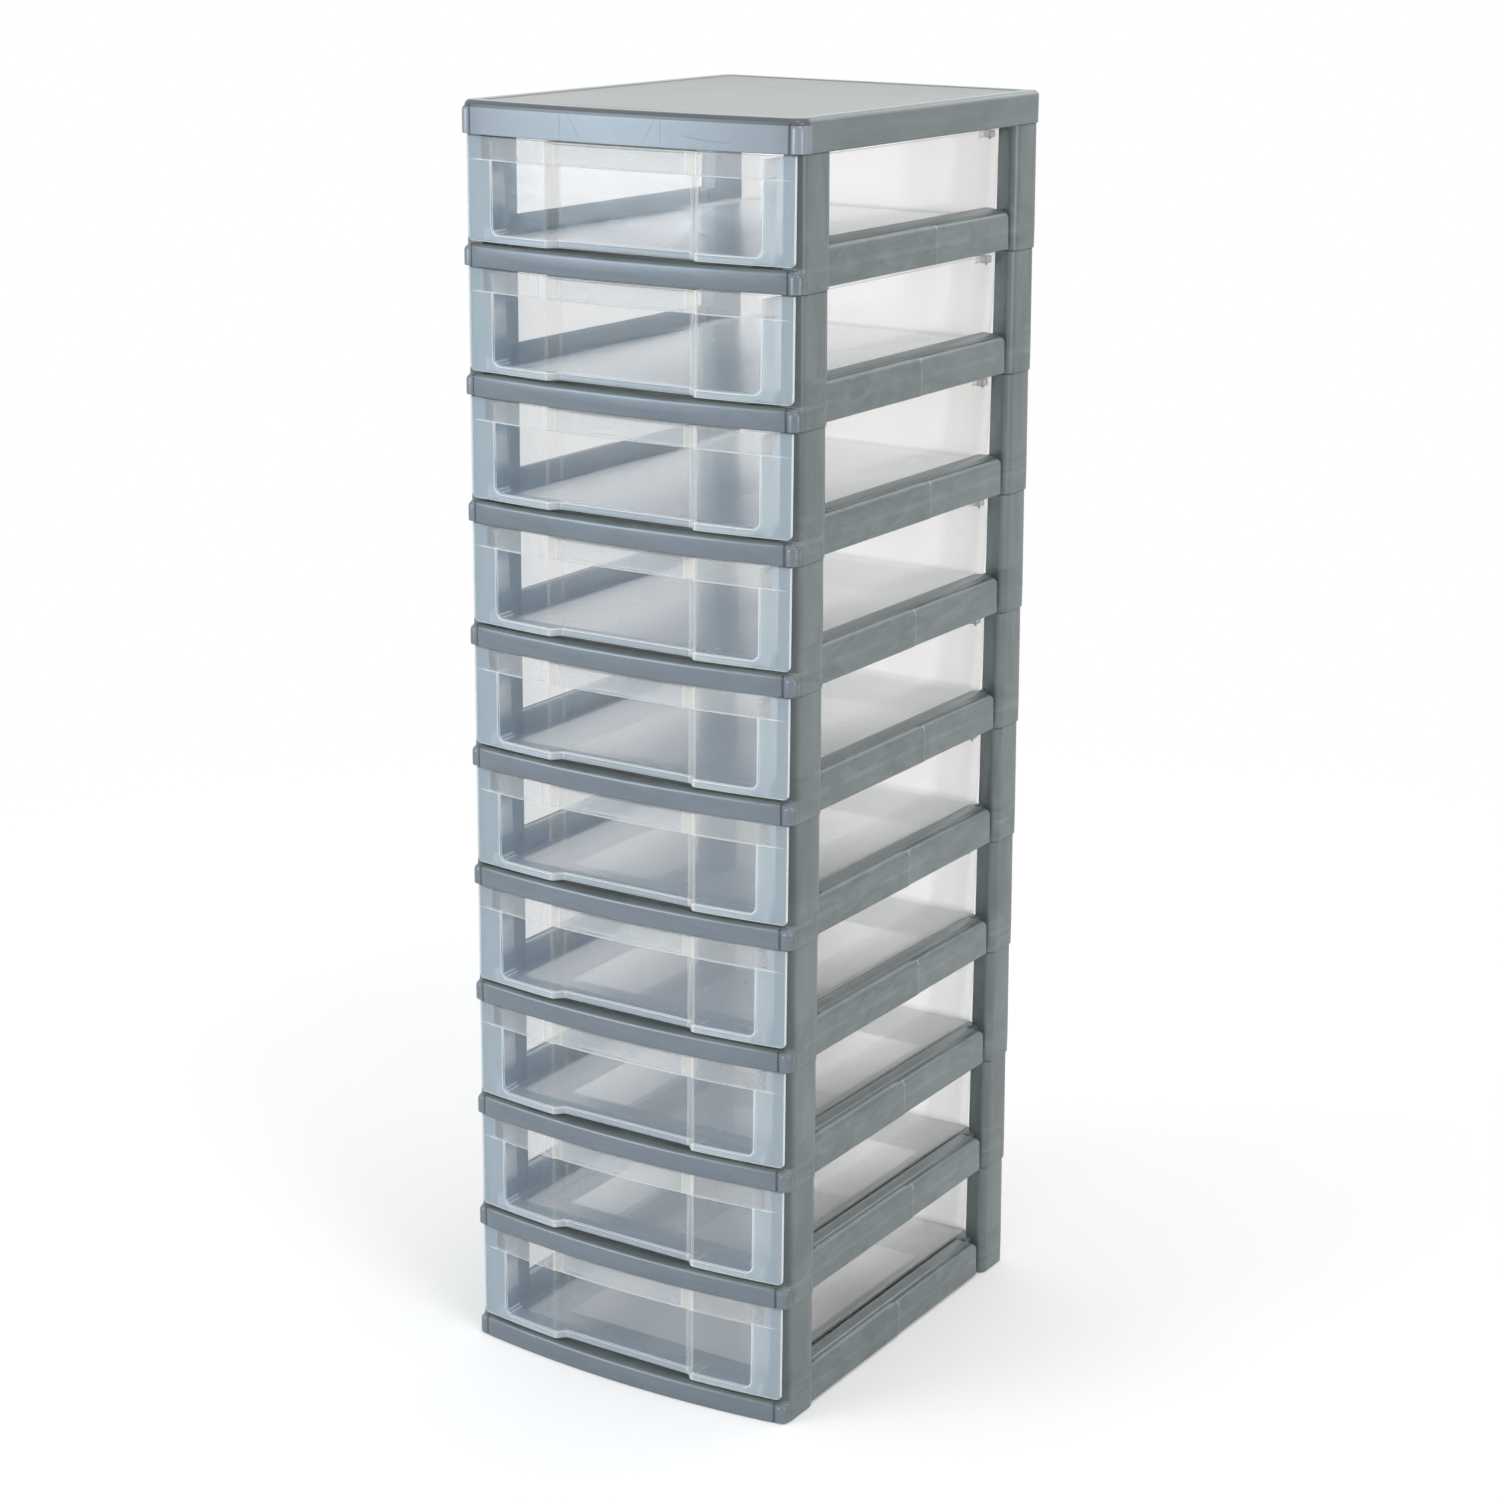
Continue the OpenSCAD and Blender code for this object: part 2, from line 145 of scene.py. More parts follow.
class Moulding:
    """Collects the faces of one moulded piece, in millimetres, and turns them into a mesh."""

    def __init__(self) -> None:
        """Starts with no faces."""
        self.bm = bmesh.new()

    def points(self, ring: Ring) -> list[bmesh.types.BMVert]:
        """Adds a ring of points and returns its vertices."""
        return [self.bm.verts.new(Vector(p) * MM) for p in ring]

    def face(self, verts: Sequence[bmesh.types.BMVert]) -> None:
        """Adds one face."""
        self.bm.faces.new(verts)

    def loft(
        self, rings: Sequence[Ring], closed: bool = True, caps: bool = True, wrap: bool = False
    ) -> list[list[bmesh.types.BMVert]]:
        """Joins rings of equal length with faces.

        Args:
            rings: The rings, in order.
            closed: Whether each ring's last point joins its first.
            caps: Whether the open ends get a face.
            wrap: Whether the last ring joins the first.

        Returns:
            The vertices of each ring.
        """
        made = [self.points(r) for r in rings]
        pairs = list(zip(made, made[1:])) + ([(made[-1], made[0])] if wrap else [])
        count = len(made[0])
        for a, b in pairs:
            for j in range(count if closed else count - 1):
                k = (j + 1) % count
                self.face((a[j], a[k], b[k], b[j]))
        if caps and closed and not wrap:
            self.face(made[0])
            self.face(made[-1])
        if caps and wrap and not closed:
            self.face([r[0] for r in made])
            self.face([r[-1] for r in made])
        return made

    def slab(self, outer: Sequence[Flat], low: float, high: float, hole: Sequence[Flat] = ()) -> None:
        """Adds a flat plate with upright edges.

        Args:
            outer: Outline in plan.
            low: Height of the lower face.
            high: Height of the upper face.
            hole: Outline of an opening, or nothing.
        """
        loops = [list(outer)] + ([list(hole)] if hole else [])
        flat = [Vector((x, y, 0)) for loop in loops for x, y in loop]
        triangles = tessellate_polygon([[Vector((x, y, 0)) for x, y in loop] for loop in loops])
        under, above = (
            [self.bm.verts.new((p.x * MM, p.y * MM, z * MM)) for p in flat] for z in (low, high)
        )
        for layer in (under, above):
            for t in triangles:
                self.face([layer[i] for i in t])
        start = 0
        for loop in loops:
            for i in range(len(loop)):
                a, b = start + i, start + (i + 1) % len(loop)
                self.face((under[a], under[b], above[b], above[a]))
            start += len(loop)

    def block(self, low: Point, high: Point, edge: float = 0.4) -> None:
        """Adds a box whose edges are chamfered.

        Args:
            low: Lowest corner.
            high: Highest corner.
            edge: Width of the chamfer.
        """
        rings = []
        for z, inset in ((low[2], edge), (low[2] + edge, 0), (high[2] - edge, 0), (high[2], edge)):
            outline = rounded(
                (low[0] + inset, low[1] + inset), (high[0] - inset, high[1] - inset), [edge] * 4, 2
            )
            rings.append([(x, y, z) for x, y in outline])
        self.loft(rings)

    def mesh(self, name: str, sharp: float = 38.0) -> bpy.types.Mesh:
        """Turns what was collected into a mesh with smooth faces and sharp creases.

        Args:
            name: Name of the mesh.
            sharp: Angle in degrees over which an edge stays sharp.

        Returns:
            The new mesh.
        """
        bmesh.ops.remove_doubles(self.bm, verts=self.bm.verts, dist=1e-6)
        bmesh.ops.dissolve_degenerate(self.bm, edges=self.bm.edges, dist=1e-6)
        bmesh.ops.recalc_face_normals(self.bm, faces=self.bm.faces)
        for f in self.bm.faces:
            f.smooth = True
        for e in self.bm.edges:
            if len(e.link_faces) == 2 and e.calc_face_angle(0.0) > math.radians(sharp):
                e.smooth = False
        made = bpy.data.meshes.new(name)
        self.bm.to_mesh(made)
        self.bm.free()
        return made


@dataclass
class Plan:
    """Outline of the tower seen from above, in millimetres."""

    width: float = 280.8
    depth: float = 355.0
    tier: float = 92.0
    bow: float = 11.4
    front_corner: float = 12.0
    rear_corner: float = 10.0
    groove_turn: float = 77.0
    groove_wide: float = 7.0
    bead: float = 5.8
    bead_turn: float = 42.0
    bead_dome: float = 0.8
    bow_steps: int = 48
    corner_steps: int = 24

    @property
    def half(self) -> float:
        """Half the width."""
        return self.width / 2

    @property
    def back(self) -> float:
        """Y of the back."""
        return self.depth / 2

    @property
    def bow_radius(self) -> float:
        """Radius of the bowed front."""
        return (self.half**2 + self.bow**2) / (2 * self.bow)

    @property
    def bow_centre(self) -> float:
        """Y of the bow's centre."""
        return self.bow_radius - self.back

    def bow_y(self, x: float, inset: float) -> float:
        """Y of the bowed front at x, moved in from the lip's face by inset."""
        return self.bow_centre - math.sqrt((self.bow_radius - inset) ** 2 - x * x)

    def corner(self, inset: float, radius: float) -> Flat:
        """Centre of the right front corner's arc.

        Args:
            inset: Distance in from the outer face.
            radius: Radius of the arc.

        Returns:
            The centre, from which the arc touches both bow and side.
        """
        x = self.half - inset - radius
        return x, self.bow_centre - math.sqrt((self.bow_radius - inset - radius) ** 2 - x * x)

    def front(self, inset: float) -> list[Flat]:
        """Run from the right side round the front to the left side.

        Args:
            inset: Distance in from the outer face.

        Returns:
            Points from the right corner's end to the left corner's end.
        """
        radius = max(self.front_corner - inset, 2.0)
        cx, cy = self.corner(inset, radius)
        turn = math.degrees(math.atan2(cy - self.bow_centre, cx))
        bow = arc((0, self.bow_centre), self.bow_radius - inset, turn, -180 - turn, self.bow_steps)
        return (
            arc((cx, cy), radius, 0, turn, self.corner_steps)
            + bow[1:-1]
            + arc((-cx, cy), radius, 180 - turn, 180, self.corner_steps)
        )

    def rear(self, inset: float) -> list[Flat]:
        """Run from the left side round the back to the right side.

        Args:
            inset: Distance in from the outer face.

        Returns:
            Points of both rear corners.
        """
        radius = max(self.rear_corner - inset, 2.0)
        x, y = self.half - inset - radius, self.back - inset - radius
        left = arc((-x, y), radius, 180, 90, self.corner_steps)
        return left + arc((x, y), radius, 90, 0, self.corner_steps)

    def closed(self, inset: float) -> list[Flat]:
        """Whole outline, moved in by inset."""
        return self.front(inset) + self.rear(inset)

    def grooved(self, run: Sequence[Flat], inset: float, deep: float) -> list[Flat]:
        """Cuts an upright groove into both front corners of an outline.

        Args:
            run: Points of the outline at this inset.
            inset: Distance in from the outer face.
            deep: Depth of the groove's middle.

        Returns:
            The points, moved in where the groove is.
        """
        cx, cy = self.corner(inset, max(self.front_corner - inset, 2.0))
        cut = []
        for x, y in run:
            turn = math.degrees(math.atan2(cy - y, abs(x) - cx))
            near = abs(turn - self.groove_turn) / self.groove_wide
            if abs(x) > cx and y < cy and near < 1:
                depth = deep * (0.5 + 0.5 * math.cos(math.pi * near))
                away = Vector((abs(x) - cx, y - cy)).normalized() * depth
                x, y = math.copysign(abs(x) - away.x, x), y - away.y
            cut.append((x, y))
        return cut

    def beads(self, part: Moulding, top: float, proud: float) -> None:
        """Adds an upright bead with a domed top to each front corner.

        Args:
            part: Moulding that the beads belong to.
            top: Height of the dome's top.
            proud: How far the bead stands out from the corner.
        """
        cx, cy = self.corner(0, self.front_corner)
        reach = self.front_corner - self.bead + proud
        turn = math.radians(self.bead_turn)
        dome = self.bead * self.bead_dome
        levels = [(0.3, self.bead - 0.4), (0.8, self.bead), (top - dome, self.bead)]
        levels += [(top - dome + dome * z, self.bead * r) for r, z in arc((0, 0), 1.0, 15, 80, 6)]
        for side in Side:
            x, y = side.value * (cx + reach * math.cos(turn)), cy - reach * math.sin(turn)
            rings = [[(px, py, z) for px, py in arc((x, y), r, 0, 352.5, 47)] for z, r in levels]
            part.loft(rings)


class Wire:
    """A socket's value in a node tree, with arithmetic that adds Math nodes."""

    def __init__(self, board: "Board", socket: bpy.types.NodeSocket) -> None:
        """Wraps one output socket of a board."""
        self.board = board
        self.socket = socket

    def maths(self, operation: str, *values: "Wire | float") -> "Wire":
        """Adds a Math node on these values and returns its result."""
        node = self.board.add("ShaderNodeMath", {"operation": operation}, dict(enumerate(values)))
        return Wire(self.board, node.outputs[0])

    def __add__(self, other: "Wire | float") -> "Wire":
        """self + other."""
        return self.maths("ADD", self, other)

    def __radd__(self, other: float) -> "Wire":
        """other + self."""
        return self.maths("ADD", other, self)

    def __sub__(self, other: "Wire | float") -> "Wire":
        """self - other."""
        return self.maths("SUBTRACT", self, other)

    def __rsub__(self, other: float) -> "Wire":
        """other - self."""
        return self.maths("SUBTRACT", other, self)

    def __mul__(self, other: "Wire | float") -> "Wire":
        """self * other."""
        return self.maths("MULTIPLY", self, other)

    def __rmul__(self, other: float) -> "Wire":
        """other * self."""
        return self.maths("MULTIPLY", other, self)

    def __truediv__(self, other: "Wire | float") -> "Wire":
        """self / other."""
        return self.maths("DIVIDE", self, other)

    def __pow__(self, other: float) -> "Wire":
        """self to the power of other."""
        return self.maths("POWER", self, other)

    def __abs__(self) -> "Wire":
        """The value without its sign."""
        return self.maths("ABSOLUTE", self)

    def larger(self, other: "Wire | float") -> "Wire":
        """The larger of self and other."""
        return self.maths("MAXIMUM", self, other)

    def smaller(self, other: "Wire | float") -> "Wire":
        """The smaller of self and other."""
        return self.maths("MINIMUM", self, other)

    def clamped(self) -> "Wire":
        """The value held between 0 and 1."""
        return self.larger(0.0).smaller(1.0)

    def ease(self, low: float, high: float) -> "Wire":
        """Smooth step from 0 at low to 1 at high.

        Args:
            low: Value that gives 0.
            high: Value that gives 1.

        Returns:
            The eased value.
        """
        settings = {"interpolation_type": "SMOOTHSTEP", "clamp": True}
        sockets = {"Value": self, "From Min": low, "From Max": high}
        return Wire(self.board, self.board.add("ShaderNodeMapRange", settings, sockets).outputs[0])

    def below(self, low: float, high: float) -> "Wire":
        """Smooth step from 1 at low to 0 at high."""
        return 1 - self.ease(low, high)

    def near(self, place: float, low: float, high: float) -> "Wire":
        """1 within low of a place, falling to 0 at high from it."""
        return abs(self - place).below(low, high)

    def between(self, low: float, high: float, soft: float) -> "Wire":
        """1 between low and high, falling to 0 over soft beyond them."""
        return self.ease(low - soft, low) * self.below(high, high + soft)


Value = Wire | float | Sequence[float]


class Board:
    """The node tree of one material or of the world."""

    def __init__(self, tree: bpy.types.NodeTree) -> None:
        """Starts from an empty tree."""
        self.tree = tree
        tree.nodes.clear()

    def add(self, kind: str, settings: dict[str, object], sockets: dict[object, Value]) -> bpy.types.Node:
        """Adds a node.

        Args:
            kind: Node type.
            settings: The node's own settings, and "stops" for a ramp.
            sockets: Values or links by socket name or number.

        Returns:
            The new node.
        """
        node = self.tree.nodes.new(kind)
        for name, value in settings.items():
            if name == "stops":
                self.ramp_stops(node.color_ramp, value)
            else:
                setattr(node, name, value)
        for key, value in sockets.items():
            if isinstance(value, Wire):
                self.tree.links.new(value.socket, node.inputs[key])
            else:
                node.inputs[key].default_value = value
        return node

    @staticmethod
    def ramp_stops(ramp: bpy.types.ColorRamp, stops: Sequence[tuple[float, Sequence[float]]]) -> None:
        """Gives a ramp its stops.

        Args:
            ramp: The ramp of a new node, with two stops.
            stops: Position and colour of each stop, from low to high.
        """
        while len(ramp.elements) < len(stops):
            ramp.elements.new(1.0)
        for element, (position, colour) in zip(ramp.elements, stops):
            element.position = position
            element.color = (*colour, 1.0)

    def wire(self, node: bpy.types.Node, output: object = 0) -> Wire:
        """Wraps an output of a node."""
        return Wire(self, node.outputs[output])

    def noise(
        self, where: Wire, scale: float, detail: float = 3.0, rough: float = 0.55, warp: float = 0.0
    ) -> Wire:
        """Noise between 0 and 1.

        Args:
            where: Coordinates.
            scale: Scale of the noise.
            detail: Number of finer layers.
            rough: How strong the finer layers are.
            warp: Distortion.

        Returns:
            The noise value.
        """
        sockets = {"Vector": where, "Scale": scale, "Detail": detail}
        sockets |= {"Roughness": rough, "Distortion": warp}
        return self.wire(self.add("ShaderNodeTexNoise", {}, sockets))

    def stretched(self, where: Wire, scale: Point) -> Wire:
        """Coordinates scaled along each axis."""
        return self.wire(self.add("ShaderNodeMapping", {}, {"Vector": where, "Scale": scale}))

    def mix(self, share: Wire | float, first: Value, second: Value) -> Wire:
        """Colour mix.

        Args:
            share: How much of the second colour shows.
            first: First colour.
            second: Second colour.

        Returns:
            The mixed colour.
        """
        settings = {"data_type": "RGBA", "blend_type": "MIX", "clamp_factor": True}
        node = self.add("ShaderNodeMix", settings, {0: share, 6: first, 7: second})
        return self.wire(node, 2)

    def place(self) -> Wire:
        """Object coordinates, shifted by the object's own place so that no two tiers look alike.

        Returns:
            The coordinates.
        """
        where = self.wire(self.add("ShaderNodeTexCoord", {}, {}), "Object")
        own = self.wire(self.add("ShaderNodeObjectInfo", {}, {}), "Location")
        sockets = {0: own, 1: TIER_SHIFT, 2: where}
        return self.wire(self.add("ShaderNodeVectorMath", {"operation": "MULTIPLY_ADD"}, sockets))

    def axes(self) -> tuple[Wire, Wire, Wire]:
        """Object coordinates as three values.

        Returns:
            X, Y and Z in metres.
        """
        where = self.wire(self.add("ShaderNodeTexCoord", {}, {}), "Object")
        node = self.add("ShaderNodeSeparateXYZ", {}, {"Vector": where})
        return self.wire(node, 0), self.wire(node, 1), self.wire(node, 2)

    def seen(self) -> Wire:
        """Tells the rays that show a thing from those that light one.

        Returns:
            1 for rays from the camera, off gloss or through clear plastic, 0 for the rest.
        """
        ray = self.add("ShaderNodeLightPath", {}, {})
        names = ("Is Camera Ray", "Is Glossy Ray", "Is Transmission Ray")
        camera, gloss, through = (self.wire(ray, name) for name in names)
        return camera.larger(gloss).larger(through)

    def bump(self, height: Wire, strength: float, distance: float, under: Optional[Wire] = None) -> Wire:
        """Bump from a height.

        Args:
            height: Height between 0 and 1.
            strength: Strength of the bump.
            distance: Real height in metres of a height of 1.
            under: Normal of a bump below this one.

        Returns:
            The bumped normal.
        """
        sockets = {"Height": height, "Strength": strength, "Distance": distance}
        if under is not None:
            sockets["Normal"] = under
        return self.wire(self.add("ShaderNodeBump", {}, sockets))

    def blend(self, share: Wire | float, first: Wire, second: Wire) -> Wire:
        """Mixes two shaders, share being that of the second."""
        return self.wire(self.add("ShaderNodeMixShader", {}, {0: share, 1: first, 2: second}))

    def surface(self, shader: Wire) -> None:
        """Ends a material in a shader."""
        self.add("ShaderNodeOutputMaterial", {}, {"Surface": shader})

    def groove(self, x: Wire, y: Wire) -> Wire:
        """Shade in the groove beside the bead at each front corner: 1 in the groove, 0 elsewhere."""
        return abs(x).between(*GROOVE_X, GROOVE_SOFT) * y.below(GROOVE_Y, GROOVE_Y + 0.001)

    def coat(self, colour: Wire, rough: Wire, metallic: float, normal: Wire) -> None:
        """Ends the tree in one opaque plastic surface.

        Args:
            colour: Its colour.
            rough: Its roughness.
            metallic: Share of pearl in it.
            normal: Its normal.
        """
        sockets = {"Base Color": colour, "Roughness": rough, "Metallic": metallic}
        skin = self.add("ShaderNodeBsdfPrincipled", {}, sockets | {"Normal": normal, "IOR": 1.5})
        self.surface(self.wire(skin))


def new_board(name: str) -> tuple[bpy.types.Material, Board]:
    """Makes a material with an empty node tree.

    Args:
        name: Name of the material.

    Returns:
        The material and its board.
    """
    made = bpy.data.materials.new(name)
    made.use_nodes = True
    return made, Board(made.node_tree)


@dataclass(frozen=True)
class PearlPlastic:
    """Silver-grey polypropylene with a fine pearl, faint flow marks and scuffs, and painted highlights,
    sheen and shade.

    Places are in metres, in the frame's own coordinates.
    """

    name: str = "pearl_grey_plastic"
    dark: Colour = (0.114, 0.139, 0.142)
    light: Colour = (0.176, 0.206, 0.209)
    # Colour of the lip's front face: a painted bluish sheen of the key lamp.
    face: Colour = (0.172, 0.205, 0.238)
    # Lighter colour of the scuffs, and of the painted highlights along the lip's top and the rails' edges.
    scuff_and_highlight: Colour = (0.42, 0.46, 0.465)
    roughness: float = 0.27
    metallic: float = 0.3
    lip_top: float = 0.0165
    lip_face: float = -0.1665
    crest_low: float = 0.0301
    crest_high: float = 0.0334
    rail_start: float = -0.118
    rail_end: float = 0.1331
    rail_face: float = 0.1362
    soft: float = 0.0005
    post_face: float = -0.1615

    def rail_highlights(self, x: Wire, y: Wire, z: Wire, panel_end: float) -> Wire:
        """Painted highlights on the side rails: a lighter crest, a light line at the rear end and one at
        the end of the front panel.

        Args:
            x: Object coordinate X.
            y: Object coordinate Y.
            z: Object coordinate Z.
            panel_end: Y of the front panel's end.

        Returns:
            1 on the painted highlights, 0 elsewhere.
        """
        rail = y.between(self.rail_start, self.rail_end, self.soft)
        rail = rail * z.below(self.crest_high, self.crest_high + self.soft)
        crest = z.ease(self.crest_low, self.crest_low + 0.0008)
        end = y.ease(self.rail_end - 0.0018, self.rail_end - 0.0008)
        panel = y.near(panel_end, 0.0002, 0.0009)
        lines = (end * 0.7 + panel) * abs(x).ease(self.rail_face, self.rail_face + self.soft)
        return (crest * 0.5 + lines).clamped() * rail

    def lip_zones(self, y: Wire, z: Wire) -> tuple[Wire, Wire, Wire]:
        """Zones of the bowed lip and of the post's face behind it.

        Args:
            y: Object coordinate Y.
            z: Object coordinate Z.

        Returns:
            The lip's face, painted with a bluish sheen; the turn at its top, painted dark as a reflection;
            and the post's front face above it, painted in shade.
        """
        top = self.lip_top
        face = y.below(self.lip_face, self.lip_face + 0.004) * z.below(top - 0.003, top - 0.001)
        # The turned top of the lip is painted dark, as a dark reflection.
        turn = z.between(top - 0.0016, top + 0.001, 0.0012) * y.below(-0.166, -0.162)
        # The post's front face behind the lip is painted in shade.
        behind = y.below(self.post_face, self.post_face + 0.004) * z.ease(top, top + 0.001)
        return face, turn, behind

    def material(self, tail: str, panel_end: float) -> bpy.types.Material:
        """Builds the material.

        Args:
            tail: End of the material's name.
            panel_end: Y of the rail's front panel's end in metres.

        Returns:
            The material.
        """
        made, board = new_board(self.name + tail)
        place = board.place()
        x, y, z = board.axes()
        upright = z.ease(self.crest_high, self.crest_high + 0.002)
        along = board.noise(board.stretched(place, (9, 22, 60)), 1.0, 4.0, 0.6, 1.6)
        up = board.noise(board.stretched(place, (40, 40, 7)), 1.0, 3.0, 0.5, 0.8)
        flow = along * (1 - upright) + up * upright
        cloud = board.noise(place, 26.0, 2.0)
        pearl = board.noise(place, 2600.0, 1.0)
        scuffs = board.noise(board.stretched(place, (500, 60, 900)), 1.0, 2.0, 0.5, 0.5).ease(0.66, 0.74)
        shade = (flow * 0.65 + cloud * 0.25 + pearl * 0.1).ease(0.3, 0.72)
        face, turn, behind = self.lip_zones(y, z)
        colour = board.mix(shade, opaque(self.dark), opaque(self.light))
        # Painted bluish sheen on the lip's front face.
        lip = board.mix(shade, opaque(self.face, 0.85), opaque(self.face))
        colour = board.mix(face, colour, lip)
        # Painted highlight in patches along the lip's rounded top.
        lip_top_highlight = z.between(self.lip_top - 0.0022, self.lip_top + 0.0002, 0.0012) * cloud.ease(0.35, 0.6)
        # Real scuffs, plus painted highlights on the lip's top and the rails' edges, in the lighter
        # colour.
        light = lip_top_highlight * 0.12 + scuffs * 0.14 + self.rail_highlights(x, y, z, panel_end) * 0.7
        colour = board.mix(light.clamped(), colour, opaque(self.scuff_and_highlight))
        seam = z.below(*SEAM)
        # Painted shade: at the seam, on the lip's turned top, on the post's face behind the lip and in the
        # corner grooves.
        shaded = seam * 0.45 + turn * 0.5 + behind * 0.6 + board.groove(x, y) * 0.7
        colour = board.mix(shaded.clamped(), colour, opaque(self.dark, 0.4))
        rough = self.roughness + flow * 0.1 + scuffs * 0.12 + lip_top_highlight * 0.05
        fine = board.bump(pearl, 0.12, 0.00002)
        normal = board.bump(flow, 0.22, 0.0005, fine)
        board.coat(colour, rough.clamped(), self.metallic, normal)
        return made


@dataclass(frozen=True)
class CoverPlastic:
    """The cover's plastic: the same pearl grey, with a smooth top panel, faint mould marks, and painted
    light and shade.

    Places are in metres, in the cover's own coordinates. Each of leans holds where a line starts
    and how far it leans.
    """

    name: str = "cover_grey_plastic"
    dark: Colour = (0.122, 0.146, 0.149)
    light: Colour = (0.182, 0.211, 0.214)
    # Colour of the front face: lighter and bluer, a painted sheen of the key lamp.
    face: Colour = (0.24, 0.277, 0.315)
    # Colour of the top: lighter, as painted light from above.
    top: Colour = (0.262, 0.294, 0.29)
    # Colour of the painted highlight on the border's flat top.
    bright: Colour = (0.5, 0.53, 0.55)
    # Colour of the mould marks, and of the painted shade in the border's step and the corner grooves.
    mark_and_shade: Colour = (0.1, 0.112, 0.12)
    # Colour of the painted dark reflection on the front's rounded top edge.
    edge: Colour = (0.085, 0.097, 0.105)
    roughness: float = 0.3
    metallic: float = 0.25
    front: float = -0.155
    height: float = 0.0235
    # Heights of the painted dark reflection along the front's top edge.
    turn: Flat = (0.0189, 0.0231)
    side_line: float = -0.1265
    mark_width: Flat = (0.0002, 0.0008)
    leans: tuple[Flat, ...] = ((-0.0475, 0.0), (-0.0362, -0.6), (0.0268, 0.62), (0.0355, 0.0))

    def marks(self, board: Board) -> Wire:
        """Faint lines where ribs behind the front skirt and the mould's inserts show through.

        Args:
            board: Board of the material.

        Returns:
            1 on the lines, 0 elsewhere.
        """
        x, y, z = board.axes()
        ribs = [abs(x - start - (z - 0.0115) * lean).below(*self.mark_width) for start, lean in self.leans]
        lines = sum(ribs[1:], ribs[0]) * z.between(0.003, 0.0195, 0.001)
        curve = ((0.086 - x) * 30).larger(0.0) ** 2.0 * 0.0031
        dip = abs(z - 0.0057 - curve).below(*self.mark_width) * x.between(0.053, 0.088, 0.002)
        lines = (lines + dip).clamped() * y.below(self.front - 0.004, self.front)
        side = y.near(self.side_line, 0.0003, 0.0009) * abs(x).ease(0.1396, 0.14)
        return lines + side * z.below(0.017, 0.0195)

    def material(self) -> bpy.types.Material:
        """Builds the material.

        Returns:
            The material.
        """
        made, board = new_board(self.name)
        place = board.place()
        x, y, z = board.axes()
        flow = board.noise(board.stretched(place, (16, 5, 50)), 1.0, 4.0, 0.6, 1.2)
        cloud = board.noise(place, 14.0, 2.0)
        pearl = board.noise(place, 2600.0, 1.0)
        streaks = board.noise(board.stretched(place, (7, 40, 10)), 1.0, 3.0, 0.6, 0.8)
        shade = (flow * 0.55 + cloud * 0.35 + pearl * 0.1).ease(0.3, 0.72)
        colour = board.mix(shade, opaque(self.dark), opaque(self.light))
        # The front face is painted lighter and bluer, as lit by the key lamp.
        face = board.mix(shade, opaque(self.face, 0.9), opaque(self.face))
        colour = board.mix(y.below(self.front - 0.002, self.front + 0.004), colour, face)
        # The top is painted lighter, as lit from above; the streaks vary its tone.
        above = z.ease(self.height - 0.0016, self.height - 0.001)
        lid = board.mix(streaks.ease(0.3, 0.7), opaque(self.top, 0.9), opaque(self.top))
        colour = board.mix(above, colour, lid)
        marks = self.marks(board)
        # Painted highlight on the border's flat top.
        border = z.ease(self.height - 0.00004, self.height - 0.00001)
        colour = board.mix(border * 0.5, colour, opaque(self.bright))
        # Painted shade in the step from the border down to the panel and in the corner grooves; the mould
        # marks are real.
        step = z.between(self.height - 0.0004, self.height - 0.00007, 0.00002)
        dark = marks * 0.3 + step * 0.55 + board.groove(x, y) * z.below(0.018, 0.02) * 0.75
        colour = board.mix(dark.clamped(), colour, opaque(self.mark_and_shade))
        # The front's rounded top edge is painted dark, as a dark reflection.
        turned = z.between(*self.turn, 0.0005) * y.below(self.front - 0.003, self.front + 0.004)
        colour = board.mix(turned * 0.9, colour, opaque(self.edge))
        colour = board.mix(z.below(*SEAM) * 0.45, colour, opaque(self.dark, 0.5))
        rough = self.roughness + flow * 0.08 - above * 0.05
        fine = board.bump(pearl, 0.1, 0.00002)
        normal = board.bump(flow - marks * 0.3, 0.2, 0.0004, fine)
        board.coat(colour, rough.clamped(), self.metallic, normal)
        return made


@dataclass(frozen=True)
class ClearZones:
    """Zones of a drawer, each a value of 1 inside it and 0 elsewhere."""

    front: Wire
    wing: Wire
    outside: Wire
    line: Wire
    band: Wire
    hem: Wire
    rib: Wire
    step: Wire
    folds: Wire
    rim: Wire
    bottom: Wire
    stop: Wire
    outline: Wire


